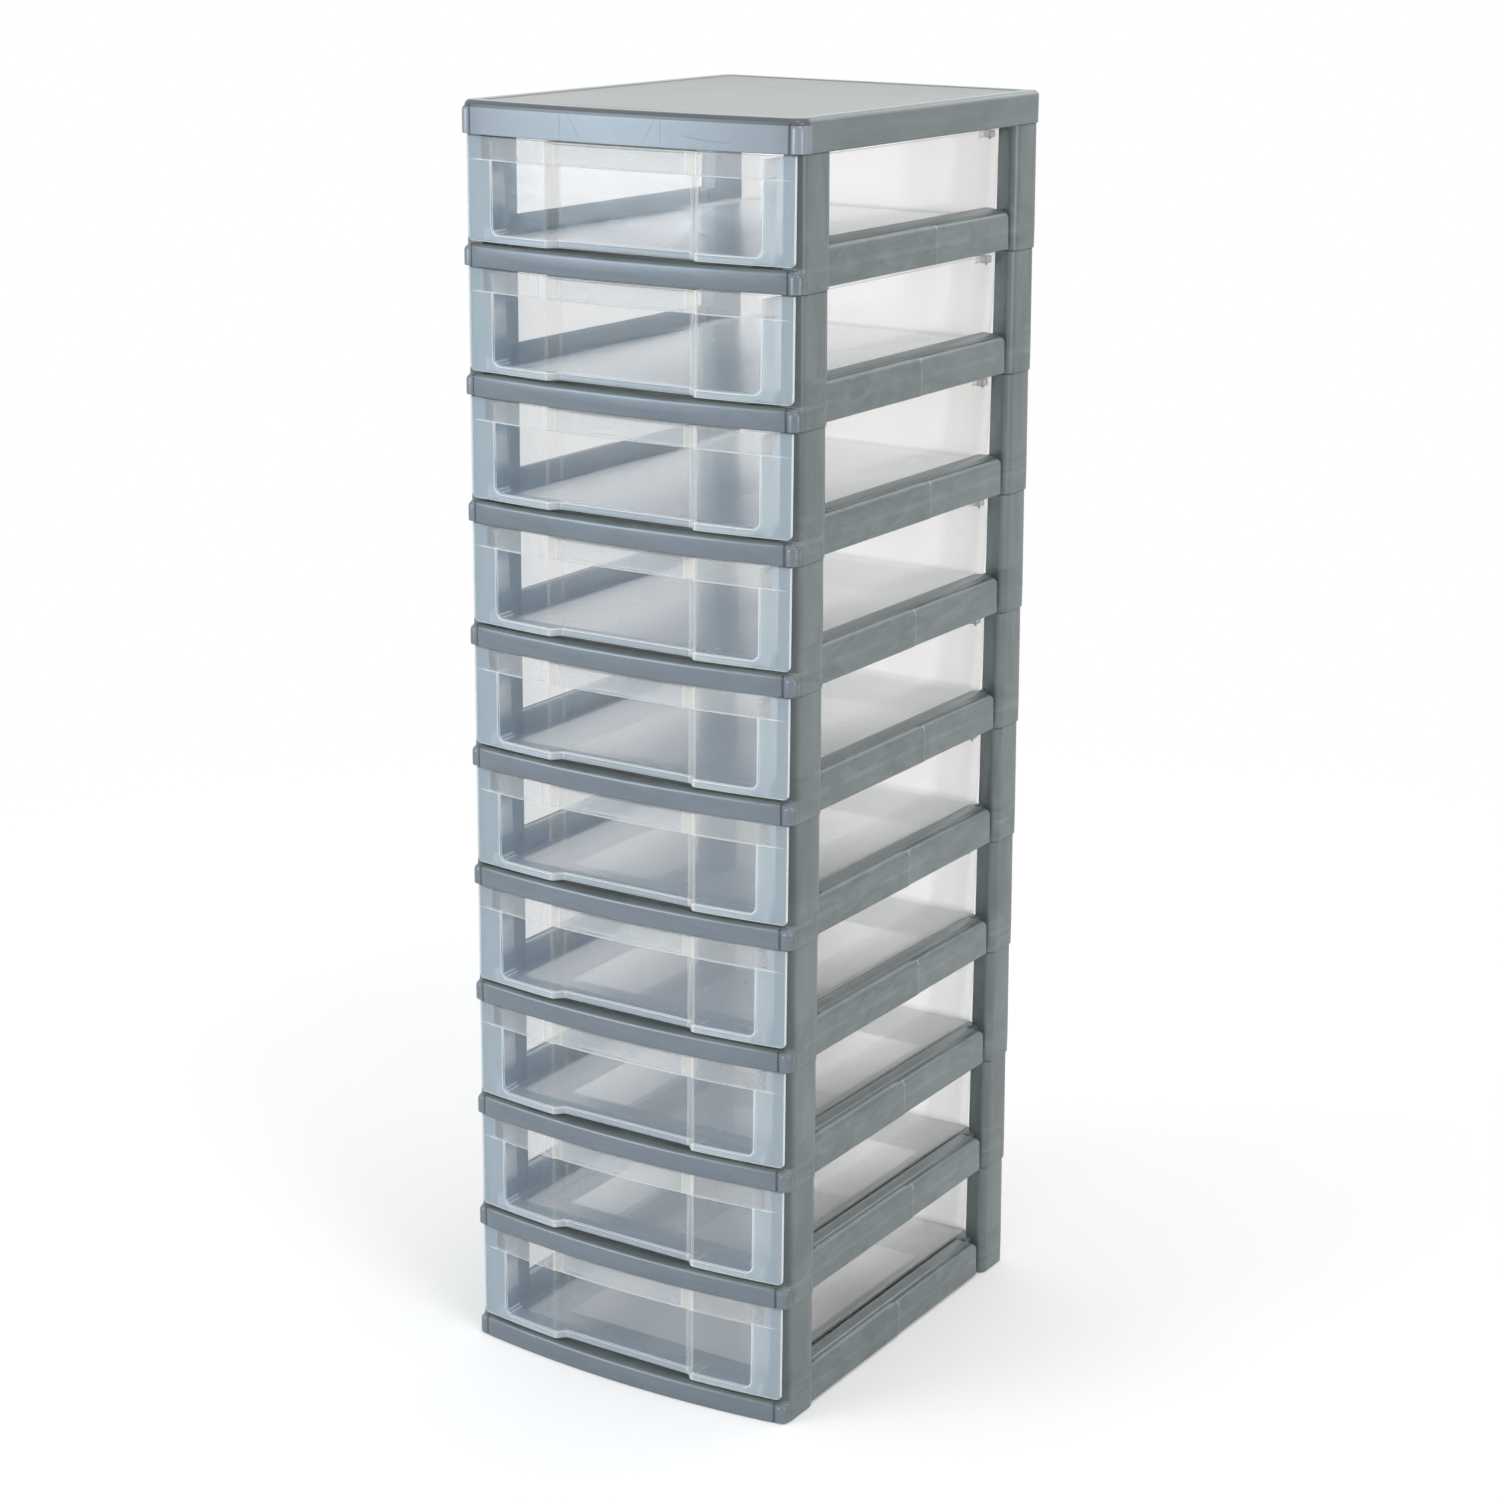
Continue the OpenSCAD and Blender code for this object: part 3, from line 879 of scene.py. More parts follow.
@dataclass(frozen=True)
class ClearPlastic:
    """Natural clear polypropylene: clear front, hazy wings and band, painted highlights on its edges and
    lines, a painted dark outline round the stops, and a milky box.

    Places are in metres, in the drawer's own coordinates at its closed place.
    """

    name: str = "clear_blue_plastic"
    milk: Colour = (0.26, 0.58, 0.98)
    hazy: Colour = (0.66, 0.82, 0.96)
    pale: Colour = (0.97, 0.97, 0.96)
    # White of the frosted band, and of the painted highlights on the edges, lines, steps and folds.
    bright: Colour = (0.97, 0.98, 0.97)
    # Colour of the painted dark outline round the stops.
    outline: Colour = (0.12, 0.13, 0.135)
    tint: Colour = (0.994, 0.99, 0.985)
    warm: Colour = (0.992, 0.975, 0.952)
    gloss: Colour = (0.96, 0.98, 1.0)
    haze: float = 0.085
    box_haze: float = 0.09
    floor_haze: float = 0.06
    wing_haze: float = 0.3
    step_haze: float = 0.05
    step_start: float = 0.0542
    step_end: float = 0.0625
    band_haze: float = 0.14
    line_haze: float = 0.55
    stop_haze: float = 0.4
    roughness: float = 0.14
    passing: float = 0.5
    front: float = -0.1535
    half: float = 0.1354
    low: float = 0.018
    band_low: float = 0.075
    band_half: float = 0.121
    window_half: float = 0.112
    window_low: float = 0.0232
    window_corner: float = 0.006
    rib_x: float = -0.0705
    floor_top: float = 0.0212
    flange: float = 0.1158
    stop_start: float = 0.1302
    stop_end: float = 0.1385
    stop_low: float = 0.0827

    def window(self, x: Wire, z: Wire) -> Wire:
        """Distance in from the line round the window, negative outside it.

        Args:
            x: Object coordinate X.
            z: Object coordinate Z.

        Returns:
            The distance in metres.
        """
        across = (abs(x) - (self.window_half - self.window_corner)).larger(0.0)
        down = ((self.window_low + self.window_corner) - z).larger(0.0)
        return self.window_corner - (across * across + down * down) ** 0.5

    def stop_zones(self, x: Wire, y: Wire, z: Wire) -> tuple[Wire, Wire]:
        """The stops at the back of the rim, and the painted dark outline round them.

        Args:
            x: Object coordinate X.
            y: Object coordinate Y.
            z: Object coordinate Z.

        Returns:
            1 on the stops, and 1 on their outlines.
        """
        stop = abs(x).ease(self.flange, self.flange + 0.0003)
        stop = stop * y.between(self.stop_start, self.stop_end, 0.001)
        stop = stop * z.ease(self.stop_low - 0.003, self.stop_low - 0.0025)
        clear = y.between(self.stop_start + 0.0009, self.stop_end - 0.0009, 0.0003)
        clear = clear * z.ease(self.stop_low + 0.0006, self.stop_low + 0.0009)
        return stop, stop * (1 - clear)

    def zones(self, x: Wire, y: Wire, z: Wire) -> ClearZones:
        """Finds the zones of the drawer.

        Args:
            x: Object coordinate X.
            y: Object coordinate Y.
            z: Object coordinate Z.

        Returns:
            The zones.
        """
        side = abs(x)
        right = x.ease(-0.01, 0.01)
        front = y.below(self.front, self.front + 0.003)
        inside = self.window(x, z)
        below = z.below(self.band_low - 0.0004, self.band_low + 0.0002)
        lower, upper = front * below, front * (1 - below)
        band = upper * side.below(self.band_half - 0.0003, self.band_half + 0.0003)
        hem = z.near(self.band_low, 0.0002, 0.0006) * side.below(self.band_half, self.half)
        step = front * side.between(self.step_start, self.step_end, 0.0006)
        fold = abs(side - self.step_start).smaller(abs(side - self.step_end)).below(0.0003, 0.0009)
        rim = side.ease(self.half - 0.0009, self.half - 0.0004)
        stop, outline = self.stop_zones(x, y, z)
        return ClearZones(
            front=front,
            wing=lower * inside.below(-0.0004, 0.0004),
            outside=upper - band,
            line=lower * abs(inside).below(0.0002, 0.0007),
            band=band,
            hem=hem * front,
            rib=band * x.near(self.rib_x, 0.0002, 0.0006),
            # Painted highlights on the steps and folds, stronger on the right.
            step=step * (right * 0.7 + 0.3),
            folds=front * fold * (right * 0.5 + 0.5),
            rim=rim.larger(z.below(self.low + 0.0003, self.low + 0.0008)) * front,
            bottom=(1 - front) * z.below(self.floor_top, self.floor_top + 0.0023),
            stop=stop,
            outline=outline,
        )

    def share(self, board: Board, place: Wire, zones: ClearZones) -> Wire:
        """How much of the light the milk in the plastic stops, before the gloss.

        Args:
            board: Board of the material.
            place: Coordinates of the plastic's grain.
            zones: Zones of the drawer.

        Returns:
            The share, 0 where the plastic is fully clear.
        """
        cloud = board.noise(place, 18.0, 2.0)
        specks = board.noise(place, 420.0, 1.0).ease(0.77, 0.8)
        haze = zones.front * self.haze + cloud * 0.03
        haze = haze + self.scratches(board, place) * 0.04 + specks * 0.08
        haze = haze + (1 - zones.front) * self.box_haze + zones.bottom * self.floor_haze
        haze = haze + zones.stop * self.stop_haze + (zones.wing + zones.outside) * self.wing_haze
        haze = haze + zones.band * self.band_haze + zones.step * self.step_haze
        lines = zones.line + zones.hem + zones.rib * 0.5 + zones.rim + zones.folds * 0.4
        return haze + lines * self.line_haze

    @staticmethod
    def scratches(board: Board, place: Wire) -> Wire:
        """Fine level scratches: 1 on them, 0 elsewhere."""
        fine = board.stretched(place, (60, 60, 700))
        return board.noise(fine, 1.0, 2.0, 0.5, 0.6).ease(0.72, 0.8)

    def colour(self, board: Board, zones: ClearZones) -> Wire:
        """Colour of the milk in the plastic, with painted highlights and a painted dark outline.

        Args:
            board: Board of the material.
            zones: Zones of the drawer.

        Returns:
            The colour.
        """
        side = (zones.wing + zones.outside).clamped()
        colour = board.mix(side, opaque(self.milk), opaque(self.hazy))
        colour = board.mix(1 - zones.front, colour, opaque(self.pale))
        # White on the frosted band, and painted highlights on the window's line, the hem, the rim, the
        # folds and the steps.
        edges = zones.line + zones.hem + zones.rim + zones.folds + zones.step * 0.6 + zones.band * 0.7
        colour = board.mix(edges.clamped(), colour, opaque(self.bright))
        # Painted dark outline round the stops.
        return board.mix(zones.outline, colour, opaque(self.outline))

    def skin(self, board: Board, place: Wire, zones: ClearZones) -> tuple[Wire, Wire]:
        """Normal and roughness of the surface, wavy in front and flat behind.

        Args:
            board: Board of the material.
            place: Coordinates of the plastic's grain.
            zones: Zones of the drawer.

        Returns:
            The normal and the roughness.
        """
        waves = board.noise(board.stretched(place, (14, 9, 22)), 1.0, 3.0, 0.5, 1.4)
        normal = board.bump(waves * zones.front, 0.3, 0.0012)
        normal = board.bump(board.noise(place, 700.0, 1.0), 0.02, 0.00002, normal)
        rough = self.roughness + (zones.band + zones.wing) * 0.22 + zones.bottom * 0.12
        return normal, (rough + self.scratches(board, place) * 0.1).clamped()

    def material(self) -> bpy.types.Material:
        """Builds the material.

        Returns:
            The material.
        """
        made, board = new_board(self.name)
        place = board.place()
        zones = self.zones(*board.axes())
        normal, rough = self.skin(board, place, zones)
        facing = board.wire(board.add("ShaderNodeLayerWeight", {}, {"Blend": 0.5}), "Facing")
        share = (self.share(board, place, zones) + facing**4.0 * 0.4).clamped()
        milky = {"Base Color": self.colour(board, zones), "Roughness": 0.9, "Normal": normal}
        milky |= {"Specular IOR Level": 0.0}
        body = board.wire(board.add("ShaderNodeBsdfPrincipled", {}, milky))
        glow = board.wire(board.add("ShaderNodeBsdfTranslucent", {}, {"Color": opaque(self.pale)}))
        body = board.blend(self.passing, body, glow)
        plain = board.wire(board.add("ShaderNodeBsdfTransparent", {}, {"Color": opaque(self.tint)}))
        amber = board.wire(board.add("ShaderNodeBsdfTransparent", {}, {"Color": opaque(self.warm)}))
        hazy = board.blend(share, board.blend(zones.front, plain, amber), body)
        glossy = {"Color": opaque(self.gloss), "Roughness": rough, "Normal": normal}
        gloss = board.wire(board.add("ShaderNodeBsdfGlossy", {}, glossy))
        sheen = facing**5.0 * 0.96 + zones.bottom * facing**3.0 * 0.95 + 0.025
        board.surface(board.blend(sheen, hazy, gloss))
        return made


@dataclass(frozen=True)
class PaleFloor:
    """Plain white studio floor that keeps a soft shadow near the tower and melts into the backdrop."""

    name: str = "pale_floor"
    colour: float = 0.8
    lift: float = 0.2
    near: float = 0.7
    far: float = 1.8

    def material(self) -> bpy.types.Material:
        """Builds the material.

        Returns:
            The material.
        """
        made, board = new_board(self.name)
        where = board.wire(board.add("ShaderNodeTexCoord", {}, {}), "Object")
        reach = board.wire(board.add("ShaderNodeVectorMath", {"operation": "LENGTH"}, {0: where}), "Value")
        white = (1.0, 1.0, 1.0)
        colour = board.mix(
            board.noise(where, 3.0, 2.0), opaque(white, self.colour), opaque(white, self.colour * 0.99)
        )
        seen = board.seen()
        sockets = {"Base Color": colour, "Roughness": 0.9, "Specular IOR Level": 0.0}
        sockets |= {"Emission Color": opaque(white), "Emission Strength": seen * self.lift}
        skin = board.wire(board.add("ShaderNodeBsdfPrincipled", {}, sockets))
        glow = board.wire(board.add("ShaderNodeEmission", {}, {"Color": opaque(white), "Strength": 1.0}))
        board.surface(board.blend(seen * reach.ease(self.near, self.far), skin, glow))
        return made


@dataclass
class StackingFrame:
    """One tier's frame: bowed lip, deck with its opening, side rails, four posts and a rear skirt.

    Sizes are in millimetres. Two mouldings differ in where the rails' front panels end.
    """

    finish: PearlPlastic
    plan: Plan = field(default_factory=Plan)
    lip_height: float = 16.5
    lip_round: float = 4.0
    deck_top: float = 15.5
    wall: float = 2.2
    rib_height: float = 8.0
    opening_x: float = 94.0
    opening_front: float = -125.0
    opening_back: float = 130.0
    opening_round: float = 8.0
    post_in: float = 123.8
    post_foot: float = 140.35
    post_top: float = 139.5
    post_round: float = 7.0
    post_rear_round: float = 11.5
    front_post_y: float = -162.95
    front_post_end: float = -121.45
    rear_post_y: float = 138.9
    link: float = 5.2
    rail_out: float = 138.2
    rail_bottom: float = 2.0
    rail_height: float = 30.4
    rail_crest: float = 2.8
    rail_round: float = 4.5
    rail_end: float = 133.1
    rail_end_round: float = 12.0
    rail_soft: float = 1.3
    panel_proud: float = 0.7
    panel_round: float = 10.0
    panel_ends: tuple[float, float] = (22.7, 4.7)
    runner_x: float = 98.0
    runner_wide: float = 3.0
    runner_high: float = 3.2
    runner_end: float = 164.0
    seam_round: float = 0.4
    groove_deep: float = 1.0
    bead_proud: float = 1.8

    @property
    def lip_end(self) -> float:
        """Y where the lip's sides end inside the foot of the front posts."""
        return self.front_post_end - self.post_rear_round

    def lip(self, part: Moulding) -> None:
        """Adds the bowed lip, rounded above and hollow below, with its beads and rounded ends.

        Args:
            part: Moulding that the lip belongs to.
        """
        top, r, s = self.lip_height, self.lip_round, self.seam_round
        profile = [(s, 0.0), (s * 0.3, s * 0.3), (0.0, s), (0.0, top - r)]
        profile += [(r - dx, top - r + dz) for dx, dz in arc((0, 0), r, 10, 90, 8)]
        profile += [(r + 0.6, top - 0.1), (r + 1.0, top - 0.5), (r + 1.0, self.deck_top - self.wall)]
        profile += [(self.wall, self.deck_top - self.wall), (self.wall, 0.0)]
        rings = []
        for inset, z in profile:
            fade = 1 - smooth((z - top + r + 1.0) / 3)
            deep = self.groove_deep * fade if inset < 1.5 else 0.0
            run = self.plan.grooved(self.plan.front(inset), inset, deep)
            x = self.plan.half - inset
            run = [(x, self.lip_end), *run, (-x, self.lip_end)]
            rings.append([(px, py, z) for px, py in run])
        part.loft(rings, closed=False, wrap=True)
        self.plan.beads(part, top - 1.2, self.bead_proud)

    def skirt(self, part: Moulding) -> None:
        """Adds the low wall across the back, between the rear posts."""
        x, y = self.plan.half - self.plan.rear_corner - 1, self.plan.back
        part.block((-x, y - self.wall, 0.0), (x, y, self.deck_top), self.seam_round)

    def opening(self, grow: float) -> list[Flat]:
        """Outline of the deck's opening.

        Args:
            grow: How much larger it is on every side.

        Returns:
            Closed outline.
        """
        r = self.opening_round + grow
        low = (-self.opening_x - grow, self.opening_front - grow)
        return rounded(low, (self.opening_x + grow, self.opening_back + grow), [r] * 4)

    def deck(self, part: Moulding) -> None:
        """Adds the ring-shaped deck, the rim round its opening, ribs and the two runners.

        Args:
            part: Moulding that the deck belongs to.
        """
        inset = self.wall / 2
        side = self.post_in + inset
        x = self.plan.half - inset
        back = self.plan.back - inset
        outer = [(x, self.lip_end), *self.plan.front(inset), (-x, self.lip_end)]
        outer += [(-side, self.lip_end), (-side, back), (side, back), (side, self.lip_end)]
        low = self.deck_top - self.wall
        part.slab(outer, low, self.deck_top, self.opening(0))
        part.slab(self.opening(self.wall), low - self.rib_height, low + 0.1, self.opening(0))
        for side in Side:
            self.ribs(part, side)
            a, b = sorted(side.value * x for x in (self.runner_x, self.runner_x + self.runner_wide))
            high = self.deck_top + self.runner_high
            part.block((a, self.front_post_y, self.deck_top - 0.3), (b, self.runner_end, high), 0.6)

    def ribs(self, part: Moulding, side: Side) -> None:
        """Adds the stiffening ribs under one half of the deck.

        Args:
            part: Moulding that the ribs belong to.
            side: Half of the deck.
        """
        low, high = self.deck_top - self.wall - self.rib_height, self.deck_top - self.wall + 0.1
        start, end = self.plan.bow - self.plan.back + 2, self.plan.back - 1.5
        for x in (self.opening_x / 3, self.opening_x - 0.1):
            a, b = sorted((side.value * x, side.value * (x - self.wall)))
            part.block((a, start, low), (b, self.opening_front - 0.1, high), 0.3)
            part.block((a, self.opening_back + 0.1, low), (b, end, high), 0.3)
        for y in (self.opening_front / 2, 0.0, self.opening_back / 2):
            a, b = sorted((side.value * (self.opening_x + 0.2), side.value * (self.post_in + 1)))
            part.block((a, y, low), (b, y + self.wall, high), 0.3)

    def rail_outline(self, inset: float) -> list[Flat]:
        """Outer line of the rail's section from its outer foot over the top to its inner foot.

        Args:
            inset: Distance in from the surface, as at the rail's rounded end.

        Returns:
            Points as x and z.
        """
        r, foot = self.rail_round, self.post_in
        out, top = self.rail_out - inset, self.rail_height - inset
        crest, edge = self.rail_height + self.rail_crest - inset, out - r
        line = [(out, self.rail_bottom + 0.3), (out, top - r), *arc((edge, top - r), r, 12, 84, 7)]
        line += [(edge - 0.8, top + 0.15), (edge - 1.5, top + 0.7), (edge - 2.4, top + 1.1)]
        line += [(foot + 4.2, crest - 0.7), (foot + 2.2, crest - 0.2), (foot + 1.2, crest)]
        return line + [(foot + 0.4, crest - 0.3), (foot, crest - 1.0), (foot, self.rail_bottom)]

    def rail(self, part: Moulding, side: Side, panel_end: float) -> None:
        """Adds one side rail with its rounded rear end and its proud front panel.

        Args:
            part: Moulding that the rail belongs to.
            side: Side of the tower.
            panel_end: Y of the panel's rear end.
        """
        start = self.lip_end
        crest = self.rail_height + self.rail_crest
        hollow = [
            (self.post_in + self.wall, self.rail_bottom),
            (self.post_in + self.wall, crest - self.wall),
            (self.rail_out - self.rail_round, self.rail_height - self.wall),
            (self.rail_out - self.wall, self.rail_height - self.rail_round),
            (self.rail_out - self.wall, self.rail_bottom),
        ]

        def end_at(z: float) -> float:
            """Y of the rail's end at a height."""
            over = max(0.0, z - (crest - self.rail_end_round))
            return self.rail_end - self.rail_end_round + math.sqrt(self.rail_end_round**2 - over**2)

        soft = self.rail_soft
        rings = [[(side.value * x, start, z) for x, z in self.rail_outline(0) + hollow]]
        for step in range(7):
            a = math.radians(90 * step / 6)
            inset, back = soft * (1 - math.cos(a)), soft * (1 - math.sin(a))
            line = self.rail_outline(inset)
            ring = [(side.value * x, end_at(z + inset) - back, z) for x, z in line]
            ring += [(side.value * x, min(end_at(z), self.rail_end - 3) - soft, z) for x, z in hollow]
            rings.append(ring)
        part.loft(rings)
        self.panel(part, side, start, panel_end)

    def panel(self, part: Moulding, side: Side, start: float, end: float) -> None:
        """Adds the rail's proud front panel.

        Args:
            part: Moulding that the panel belongs to.
            side: Side of the tower.
            start: Y of its front end, inside the post.
            end: Y of its rear end.
        """
        r, low = self.rail_round, self.rail_bottom + 0.3
        cx, cz = self.rail_out - r, self.rail_height - r
        turn = self.panel_round
        places = [(start, 0.0), (end - turn, 0.0)]
        places += [(end - turn + dy, 0.0) for dy, _ in arc((0, 0), turn, 75, 8, 8)]
        places += [(end - 0.05, 0.15), (end + 0.15, 0.4), (end + 0.25, self.panel_proud + 0.05)]
        rings = []
        for y, inset in places:
            out = r + self.panel_proud - inset
            over = min(turn, max(0.0, y - (end - turn)))
            top = cz + out - turn + math.sqrt(turn**2 - over**2)
            lean = math.degrees(math.asin(min(1.0, max(0.0, (top - cz) / out))))
            ring = [(cx + out, low), (cx + out, min(cz, top)), *arc((cx, cz), out, 1, max(lean, 2), 9)]
            if top < cz:
                ring = [(px, min(pz, top)) for px, pz in ring]
            inner = cx + r - 1.1
            ring += [(cx, min(self.rail_height - 0.9, top)), (inner, min(cz, top)), (inner, low)]
            rings.append([(side.value * px, y, pz) for px, pz in ring])
        part.loft(rings)

    def posts(self, part: Moulding, side: Side) -> None:
        """Adds the front post, the rear post and the link that joins it to the rail.

        Args:
            part: Moulding that the posts belong to.
            side: Side of the tower.
        """
        tier, s = self.plan.tier, self.seam_round
        levels = [(0.0, self.post_foot, s), (s, self.post_foot, 0.0)]
        levels += [(self.lip_height, self.post_foot, 0.0)]
        levels += [(tier - 0.5, self.post_top, 0.0), (tier, self.post_top, 0.4)]
        front, rear = [], []
        for z, x, inset in levels:
            outline = rounded(
                (self.post_in + inset, self.front_post_y + inset),
                (x - inset, self.front_post_end - inset),
                [0.7, self.post_round, self.post_rear_round, 0.7],
            )
            front.append([(side.value * px, py, z) for px, py in outline])
            back = self.plan.back - (self.plan.half - x)
            outline = rounded(
                (self.post_in + inset, self.rear_post_y + inset),
                (x - inset, back - inset),
                [0.7, self.post_round, self.plan.rear_corner, 0.7],
            )
            rear.append([(side.value * px, py, z) for px, py in outline])
        part.loft(front)
        part.loft(rear)
        a, b = sorted((side.value * self.post_in, side.value * (self.post_in + self.link)))
        low = (a, self.rail_end - self.wall, self.deck_top - 1)
        part.block(low, (b, self.rear_post_y + 2, self.rail_height), 0.5)

    def mesh(self, panel_end: float, name: str) -> bpy.types.Mesh:
        """Builds the whole frame.

        Args:
            panel_end: Y of the rail panels' rear ends.
            name: Name of the mesh.

        Returns:
            The frame's mesh, its foot at height 0.
        """
        part = Moulding()
        self.lip(part)
        self.skirt(part)
        self.deck(part)
        for side in Side:
            self.rail(part, side, panel_end)
            self.posts(part, side)
        return part.mesh(name)

    def build(self) -> None:
        """Builds and dresses all ten frames, each standing on the one below."""
        meshes = [self.mesh(end, f"frame_moulding_{i}") for i, end in enumerate(self.panel_ends)]
        for i, (made, end) in enumerate(zip(meshes, self.panel_ends)):
            made.materials.append(self.finish.material(f"_{i}", end * MM))
        for i in range(1, TIERS + 1):
            node = f"tier_frame_{i:02d}"
            piece = place_piece(f"stacking_frame_{i:02d}", meshes[i % 2], (i - 1) * self.plan.tier)
            finish_piece(piece, CARCASS, node, Slot.FRAME)


@dataclass
class Cover:
    """The top cover: a border round a sunk panel, and a bead and a groove at each front corner."""

    finish: CoverPlastic
    plan: Plan = field(default_factory=lambda: Plan(corner_steps=30))
    height: float = 23.5
    edge: float = 4.0
    border: float = 13.0
    drop: float = 0.7
    wall: float = 2.2
    seam: float = 0.4
    bead_proud: float = 2.0
    groove_deep: float = 1.3
    rib_height: float = 8.0
    ribs_x: tuple[float, ...] = (-94.0, -31.3, 31.3, 94.0)
    ribs_y: tuple[float, ...] = (-125.0, 0.0, 130.0)

    def outline(self, inset: float, z: float) -> Ring:
        """Outline at a height, with the groove at both front corners.

        Args:
            inset: Distance in from the outer face.
            z: Height above the cover's foot.

        Returns:
            The ring.
        """
        deep = self.groove_deep * (1 - smooth((z - self.height + 3.5) / 3)) if inset < 3 else 0.0
        return [(x, y, z) for x, y in self.plan.grooved(self.plan.closed(inset), inset, deep)]

    def mesh(self) -> bpy.types.Mesh:
        """Builds the cover.

        Returns:
            Its mesh, its foot at height 0.
        """
        part = Moulding()
        panel = self.height - self.drop
        inner, shoulder, border = panel - self.wall, self.height - self.edge, self.border
        profile = [(self.wall, inner), (self.wall, 0.0), (self.seam, 0.0), (0.0, self.seam)]
        profile += [(0.0, z) for z in spread(4, shoulder, 5)]
        profile += [(self.edge - dx, shoulder + dz) for dx, dz in arc((0, 0), self.edge, 10, 90, 8)]
        profile += [(border - 2.8, self.height), (border - 2.3, self.height - 0.08)]
        profile += [(border - 0.6, self.height - 0.1), (border, self.height - 0.35)]
        profile += [(border + 0.2, panel + 0.1), (border + 0.6, panel)]
        part.loft([self.outline(inset, z) for inset, z in profile])
        self.plan.beads(part, shoulder + 1.2, self.bead_proud)
        low, high = inner - self.rib_height, inner + 0.2
        for x in self.ribs_x:
            part.block((x - 1.1, -self.plan.back + 14, low), (x + 1.1, self.plan.back - 2, high), 0.3)
        for y in self.ribs_y:
            part.block((-self.plan.half + 2, y, low), (self.plan.half - 2, y + self.wall, high), 0.3)
        return part.mesh("cover_moulding")

    def build(self) -> None:
        """Builds and dresses the cover."""
        made = self.mesh()
        made.materials.append(self.finish.material())
        piece = place_piece("cover", made, TIERS * self.plan.tier)
        finish_piece(piece, CARCASS, "top_cover", Slot.COVER)


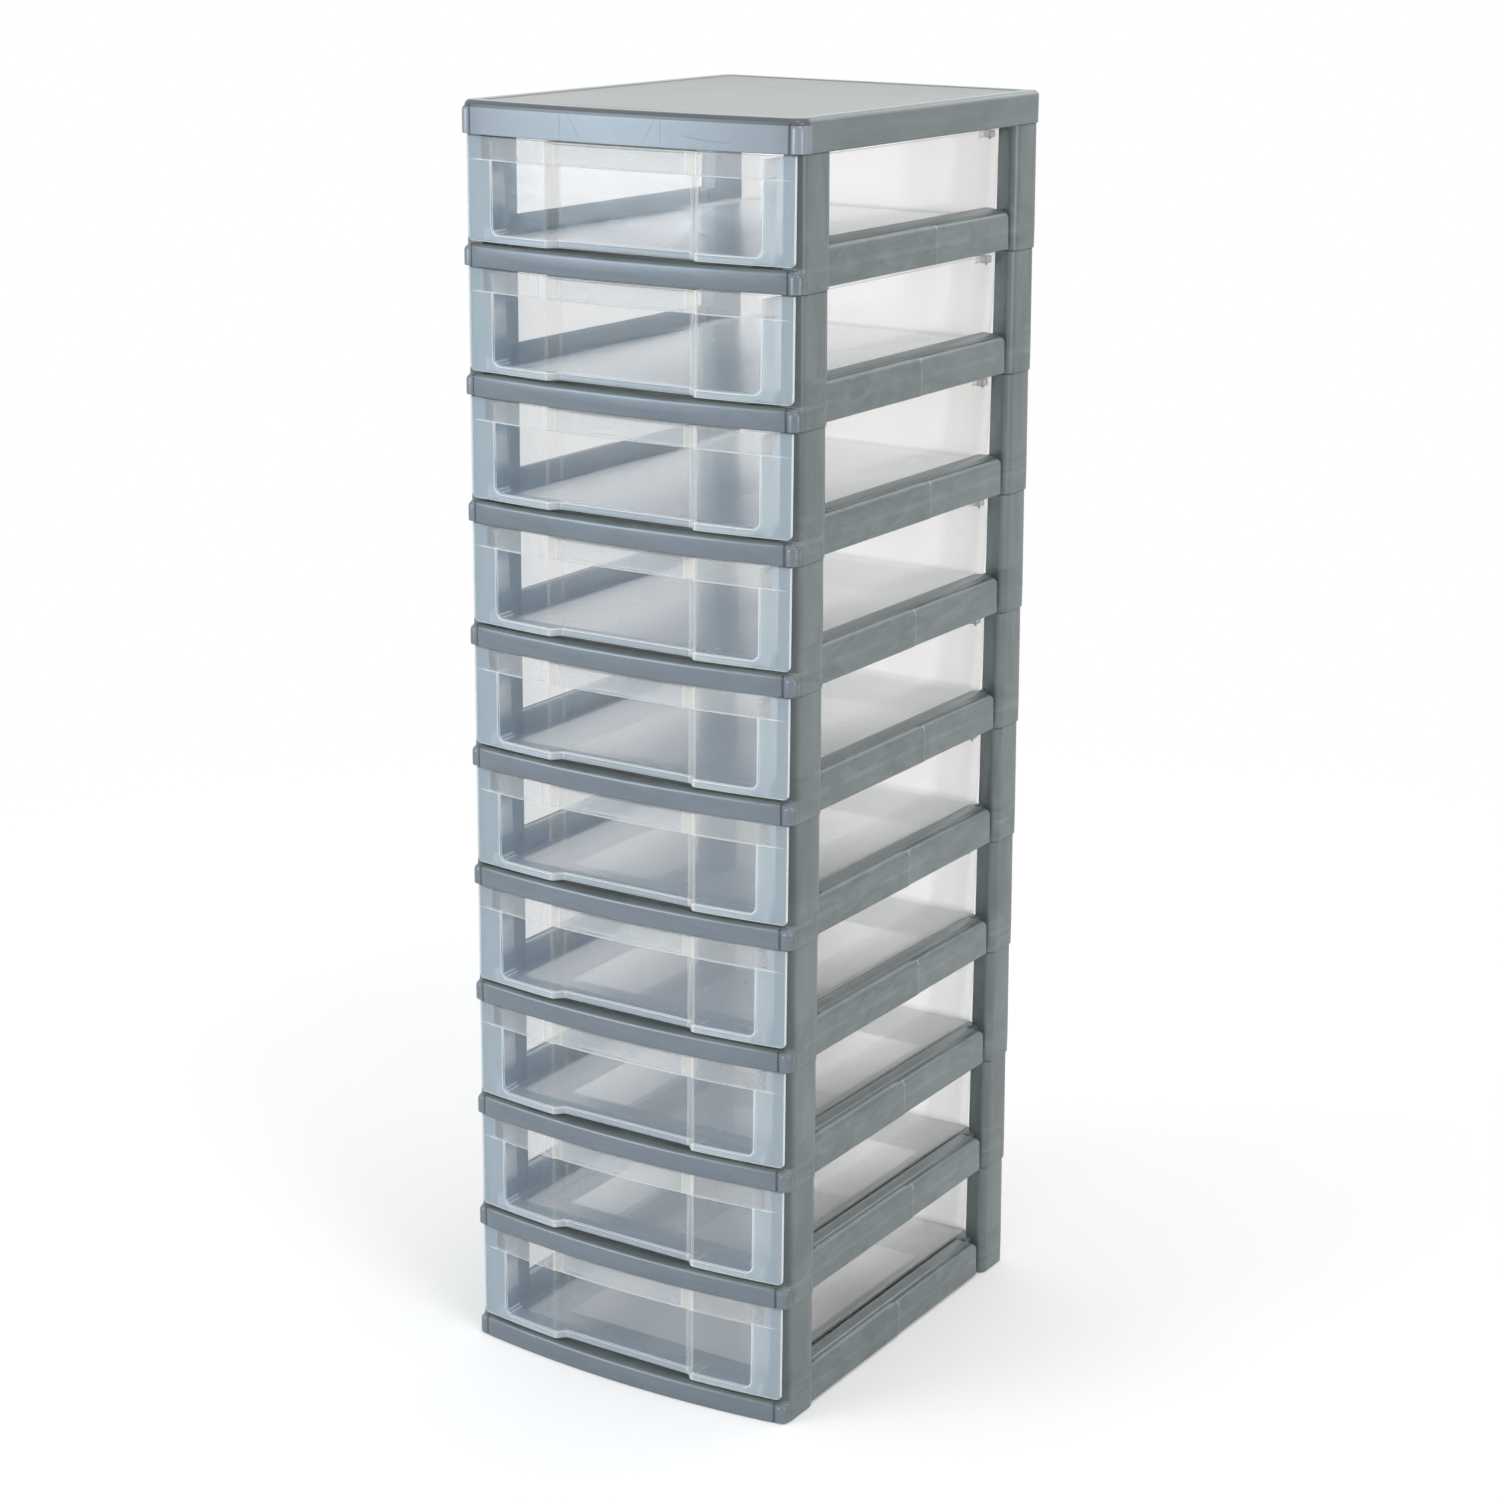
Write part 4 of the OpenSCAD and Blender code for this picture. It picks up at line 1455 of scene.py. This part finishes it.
@dataclass
class Drawer:
    """A clear drawer: bowed front with its recessed finger pull and hood, box, rim, gussets and stops."""

    finish: ClearPlastic
    plan: Plan = field(default_factory=Plan)
    front_half: float = 135.4
    setback: float = 1.5
    thick: float = 2.0
    low: float = 18.0
    high: float = 91.0
    corner: float = 4.0
    edge: float = 0.8
    recess_half: float = 54.2
    step: float = 8.3
    recess: float = 8.6
    hood_low: float = 75.0
    band_half: float = 121.0
    band_corner: float = 4.0
    band_proud: float = 0.35
    line_half: float = 112.0
    line_low: float = 23.2
    line_corner: float = 6.0
    line_wide: float = 1.3
    line_proud: float = 0.3
    relief_soft: float = 0.5
    box_half: float = 113.2
    box_back: float = 173.2
    box_wall: float = 1.7
    box_under: float = 19.1
    box_corner: float = 9.0
    foot: float = 6.0
    draft: float = 2.2
    rim: float = 88.0
    flange: float = 2.6
    stop_out: float = 121.5
    stop_start: float = 130.2
    stop_end: float = 138.5
    stop_high: float = 5.3
    stop_foot: Point = (1.2, 1.6, 1.3)
    gusset_x: float = 118.5
    gusset_wide: float = 1.6
    gusset_long: float = 8.0
    gusset_high: float = 9.0

    def face_y(self, x: float) -> float:
        """Y of the front face, with the recess in the middle.

        Args:
            x: Place across the width.

        Returns:
            The face's Y.
        """
        a, outer = abs(x), self.recess_half + self.step
        if a >= outer:
            return self.plan.bow_y(a, self.setback)
        deep = -self.plan.back + self.setback + self.recess
        if a <= self.recess_half:
            return deep
        start = self.plan.bow_y(outer, self.setback)
        return start + (deep - start) * (1 - math.cos(math.pi * (outer - a) / self.step)) / 2

    def relief(self, x: float, z: float) -> float:
        """How far the face stands out: the band at the top and the line round the window.

        Args:
            x: Place across the width.
            z: Height above the seam.

        Returns:
            The height of the relief.
        """
        across, up = self.band_half - self.band_corner, self.hood_low + self.band_corner
        dx, dz = max(0.0, abs(x) - across), max(0.0, up - z)
        inside = self.band_corner - math.hypot(dx, dz)
        band = self.band_proud * smooth(inside / self.relief_soft + 0.5)
        px, pz = self.line_half - self.line_corner, self.line_low + self.line_corner
        beside, over = abs(x) > px, z >= pz
        if beside and not over:
            away = abs(math.hypot(abs(x) - px, pz - z) - self.line_corner)
        else:
            side = abs(abs(x) - self.line_half) if over else math.inf
            away = min(side, math.inf if beside else abs(z - self.line_low))
        return max(band, self.line_proud * smooth((self.line_wide - away) / self.relief_soft))

    def columns(self) -> list[float]:
        """Columns of the front's grid, close together where its shape changes.

        Returns:
            X values from left to right.
        """
        outer = self.recess_half + self.step
        half = [0.0, 13.5, 27.0, 40.5, *spread(self.recess_half, outer, 14)]
        half += spread(68.0, 104.0, 9) + spread(105.0, 114.5, 19) + [116.0, 118.0]
        half += spread(119.5, 122.5, 8) + [124.5, 128.0, 131.0, 132.5, 133.5, 134.2, 134.6, 135.0, 135.25]
        half.append(self.front_half)
        return [-x for x in reversed(half[1:])] + half

    def rows(self) -> list[float]:
        """Rows of the front's grid, close together where its shape changes.

        Returns:
            Heights as shares between the front's lower and upper edge.
        """
        span = self.high - self.low
        heights = [0.0, 0.15, 0.4, 0.8, 1.6, *spread(2.6, 13.0, 21), 18.0, 26.0, 36.0, 46.0, 53.0]
        heights += [*spread(55.6, 61.0, 11), 64.0, 68.0, 71.0, 72.2, 72.6, 72.85, span]
        return [h / span for h in heights]

    def front(self, part: Moulding) -> None:
        """Adds the bowed front as a closed sheet with rounded edges and lower corners.

        Args:
            part: Moulding that the front belongs to.
        """
        columns, rows = self.columns(), self.rows()
        faces: list[list[list[Point]]] = [[], []]
        for x in columns:
            over = max(0.0, abs(x) - (self.front_half - self.corner))
            low = self.low + self.corner - math.sqrt(max(0.0, self.corner**2 - over**2))
            y = self.face_y(x)
            slope = (self.face_y(x + 0.05) - self.face_y(x - 0.05)) / 0.1
            lean = 1 / math.hypot(1, slope)
            front, back = [], []
            for share in rows:
                z = low + (self.high - low) * share
                gap = min(self.front_half - abs(x), z - low, self.high - z)
                drop = self.edge - math.sqrt(max(0.0, self.edge**2 - max(0.0, self.edge - gap) ** 2))
                out = self.relief(x, z) - drop
                front.append((x + out * slope * lean, y - out * lean, z))
                back.append((x - self.thick * slope * lean, y + self.thick * lean, z))
            faces[0].append(front)
            faces[1].append(back)
        grids = [[part.points(column) for column in face] for face in faces]
        for grid in grids:
            for a, b in zip(grid, grid[1:]):
                for i in range(len(rows) - 1):
                    part.face((a[i], a[i + 1], b[i + 1], b[i]))
        front, back = grids
        for i in (0, -1):
            for a, b, c, d in zip(front, front[1:], back[1:], back):
                part.face((a[i], b[i], c[i], d[i]))
            for j in range(len(rows) - 1):
                part.face((front[i][j], front[i][j + 1], back[i][j + 1], back[i][j]))

    def hood(self, part: Moulding) -> None:
        """Adds the hood over the recess, closed above and open below.

        Args:
            part: Moulding that the hood belongs to.
        """
        half = self.recess_half + self.step + 0.2
        deep = -self.plan.back + self.setback + self.recess + self.thick / 2
        low, high, t = self.hood_low, self.high, self.thick
        rings = []
        for x in spread(-half, half, 24):
            y = self.plan.bow_y(x, self.setback)
            face, back = y - self.band_proud, y + t
            section = [(y + 0.3, low), (face, low + 0.4), (face, high - 0.5), (face + 0.5, high)]
            section += [(deep, high), (deep, high - t), (back, high - t)]
            section += [(back, low + 0.4), (back - 0.4, low)]
            rings.append([(x, py, z) for py, z in section])
        part.loft(rings)

    def u_ring(self, inset: float, z: float) -> Ring:
        """The box's outline at a height, open in front, where it ends inside the front sheet.

        Args:
            inset: Distance in from the rim's outer face.
            z: Height above the seam.

        Returns:
            Points from the left front end round the back to the right front end.
        """
        half, back = self.box_half - inset, self.box_back - inset
        r = max(1.5, self.box_corner - inset / 2)
        start = self.face_y(half) + self.thick / 2
        sides = spread(start, back - r, 8)[:-1]
        run = [(-half, y) for y in sides]
        run += arc((-half + r, back - r), r, 180, 90, 8)
        run += [(x, back) for x in spread(-half + r, half - r, 6)[1:-1]]
        run += arc((half - r, back - r), r, 90, 0, 8)
        run += [(half, y) for y in reversed(sides)]
        return [(x, y, z) for x, y in run]

    def box(self, part: Moulding) -> None:
        """Adds the box as one closed skin: floor, rounded foot, leaning walls and the rim's flange.

        Args:
            part: Moulding that the box belongs to.
        """
        t, under, foot, rim = self.box_wall, self.box_under, self.foot, self.rim
        bend, turn = foot - t, arc((0, 0), 1.0, 90, 0, 6)
        inner = [(t + self.draft + bend * (1 - dx), under + foot - bend * dz) for dx, dz in turn]
        lip = [(t, rim - 0.4), (t - 0.4, rim), (-self.flange + 0.4, rim), (-self.flange, rim - 0.4)]
        lip += [(-self.flange, rim - t + 0.4), (-self.flange + 0.4, rim - t), (0.1, rim - t)]
        turn = arc((0, 0), 1.0, 0, 90, 6)
        outer = [(self.draft + foot * (1 - dx), under + foot - foot * dz) for dx, dz in turn]
        profile = inner + lip + outer
        made = part.loft([self.u_ring(inset, z) for inset, z in profile], closed=False, caps=False)
        part.face([ring[0] for ring in made])
        part.face([ring[-1] for ring in made])
        flat = self.box_half - self.draft - foot - 0.5
        xs = [x for x in reversed(self.columns()) if abs(x) < flat]
        edges = []
        for ring, z in ((made[0], under + t), (made[-1], under)):
            line = part.points([(x, self.face_y(x) + self.thick / 2, z) for x in xs])
            part.face([*ring, *line])
            edges.append([ring[-1], *line, ring[0]])
        for a, b, c, d in zip(edges[0], edges[0][1:], edges[1][1:], edges[1]):
            part.face((a, b, c, d))

    def fittings(self, part: Moulding) -> None:
        """Adds the gussets behind the front's wings and the stops under the rim.

        Args:
            part: Moulding that they belong to.
        """
        y = self.plan.bow_y(self.gusset_x, self.setback + self.thick / 2)
        back, half, low = y + self.gusset_long, self.gusset_wide / 2, self.box_under
        under, foot = self.rim - self.stop_high, self.stop_foot
        for side in Side:
            a, b = sorted(side.value * x for x in (self.gusset_x - half, self.gusset_x + half))
            part.block((a, y, low), (b, back, low + self.gusset_high), 0.3)
            a, b = sorted(side.value * x for x in (self.box_half - 3.5, self.gusset_x - 0.5))
            part.block((a, y, low + 1), (b, back, low + 1 + self.gusset_wide), 0.3)
            a, b = sorted(side.value * x for x in (self.box_half - 1.0, self.stop_out))
            part.block((a, self.stop_start, under), (b, self.stop_end, self.rim - 0.1), 0.4)
            for edge in (a, b - foot[0]):
                low_corner = (edge, self.stop_start, under - foot[2])
                part.block(low_corner, (edge + foot[0], self.stop_start + foot[1], under + 0.2), 0.25)

    def mesh(self) -> bpy.types.Mesh:
        """Builds the whole drawer.

        Returns:
            Its mesh, at its closed place in a tier.
        """
        part = Moulding()
        self.front(part)
        self.hood(part)
        self.box(part)
        self.fittings(part)
        return part.mesh("drawer_moulding")

    def build(self) -> None:
        """Builds and dresses all ten drawers."""
        made = self.mesh()
        made.materials.append(self.finish.material())
        for i in range(1, TIERS + 1):
            node = f"drawer_{i:02d}"
            piece = place_piece(f"clear_{node}", made, (i - 1) * self.plan.tier)
            finish_piece(piece, node, node, Slot.CLEAR)


@dataclass(frozen=True)
class Lamp:
    """A soft lamp: its place, power in watts, width and height in metres, and colour."""

    name: str
    at: Point
    power: float
    size: Flat
    colour: Colour

    def build(self, target: Vector) -> None:
        """Makes the lamp.

        Args:
            target: Place that it faces.
        """
        light = bpy.data.lights.new(self.name, "AREA")
        light.shape = "RECTANGLE"
        light.size, light.size_y = self.size
        light.energy = self.power
        light.color = self.colour
        piece = bpy.data.objects.new(self.name, light)
        piece.location = self.at
        piece.rotation_mode = "QUATERNION"
        piece.rotation_quaternion = (target - Vector(self.at)).to_track_quat("-Z", "Y")
        bpy.context.scene.collection.objects.link(piece)


@dataclass
class Studio:
    """Camera, floor, backdrop and soft lights."""

    camera_at: Point = (1.2151, -1.9353, 1.1069)
    yaw: float = -0.5607
    pitch: float = -0.2782
    roll: float = 0.0091
    focal: float = 74.976
    floor: float = 60.0
    floor_z: float = -0.0005
    middle: Point = (0.0, 0.0, 0.5)
    ambient: float = 0.86
    finish: PaleFloor = PaleFloor()
    lamps: tuple[Lamp, ...] = (
        Lamp("key", (-1.75, -2.6, 1.25), 42.0, (1.7, 1.5), (0.82, 0.92, 1.0)),
        Lamp("side", (3.0, -0.8, 1.1), 18.0, (0.8, 1.6), (1.0, 1.0, 0.97)),
        Lamp("back", (0.9, 3.2, 2.3), 12.0, (2.2, 1.2), (1.0, 1.0, 0.98)),
        Lamp("spot", (1.2, -0.8, 2.9), 9.0, (0.45, 0.45), (1.0, 1.0, 1.0)),
    )

    def camera(self) -> None:
        """Makes the camera and sets it."""
        lens = bpy.data.cameras.new("studio_camera")
        lens.lens, lens.sensor_width = self.focal, 36.0
        lens.clip_start, lens.clip_end = 0.05, 60.0
        piece = bpy.data.objects.new("studio_camera", lens)
        cos_p = math.cos(self.pitch)
        ahead = Vector((math.sin(self.yaw) * cos_p, math.cos(self.yaw) * cos_p, math.sin(self.pitch)))
        level = ahead.cross(Vector((0, 0, 1))).normalized()
        up = level.cross(ahead)
        right = level * math.cos(self.roll) + up * math.sin(self.roll)
        above = up * math.cos(self.roll) - level * math.sin(self.roll)
        turn = Matrix((right, above, -ahead)).transposed().to_4x4()
        piece.matrix_world = Matrix.Translation(self.camera_at) @ turn
        bpy.context.scene.collection.objects.link(piece)
        bpy.context.scene.camera = piece

    def ground(self) -> None:
        """Makes the floor as a flat sheet just under the tower."""
        shape = bmesh.new()
        bmesh.ops.create_grid(shape, x_segments=8, y_segments=8, size=self.floor / 2)
        made = bpy.data.meshes.new("floor")
        shape.to_mesh(made)
        shape.free()
        made.materials.append(self.finish.material())
        piece = bpy.data.objects.new("floor", made)
        piece.location = (0, 0, self.floor_z)
        bpy.context.scene.collection.objects.link(piece)

    def backdrop(self) -> None:
        """Lights the scene evenly and shows plain white behind it."""
        world = bpy.data.worlds.new("studio")
        world.use_nodes = True
        bpy.context.scene.world = world
        board = Board(world.node_tree)
        level = board.seen() * (1 - self.ambient) + self.ambient
        sky = board.add("ShaderNodeBackground", {}, {"Color": (1.0, 1.0, 1.0, 1.0), "Strength": level})
        board.add("ShaderNodeOutputWorld", {}, {"Surface": board.wire(sky)})

    def build(self) -> None:
        """Makes the camera, the floor and the lights."""
        self.camera()
        self.ground()
        self.backdrop()
        for lamp in self.lamps:
            lamp.build(Vector(self.middle))
        scene = bpy.context.scene
        scene.view_settings.view_transform = "Standard"
        scene.cycles.transparent_max_bounces = 48
        scene.cycles.max_bounces = 16


def place_piece(name: str, made: bpy.types.Mesh, height: float) -> bpy.types.Object:
    """Puts a mesh into the scene.

    Args:
        name: Name of the piece.
        made: Its mesh, which several pieces may share.
        height: Height of its foot in millimetres.

    Returns:
        The new object.
    """
    piece = bpy.data.objects.new(name, made)
    piece.location = (0, 0, height * MM)
    bpy.context.scene.collection.objects.link(piece)
    return piece


def finish_piece(piece: bpy.types.Object, body: str, node: str, slot: Slot) -> None:
    """Ties a piece to its body and its solid, and reports it.

    Args:
        piece: The piece.
        body: Body that it rides on.
        node: Solid that it stands for.
        slot: Not used.
    """
    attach(piece, body)
    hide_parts(node)
    faces = len(piece.data.polygons)
    LOG.info("%s rides on %s and stands for %s (%d faces)", piece.name, body, node, faces)


def main() -> None:
    """Builds the studio and every sub-assembly."""
    logging.basicConfig(level=logging.INFO, format="%(name)s: %(message)s")
    Studio().build()
    for assembly in (StackingFrame(PearlPlastic()), Cover(CoverPlastic()), Drawer(ClearPlastic())):
        assembly.build()
        LOG.info("%s done", type(assembly).__name__)


if __name__ == "__main__":
    main()
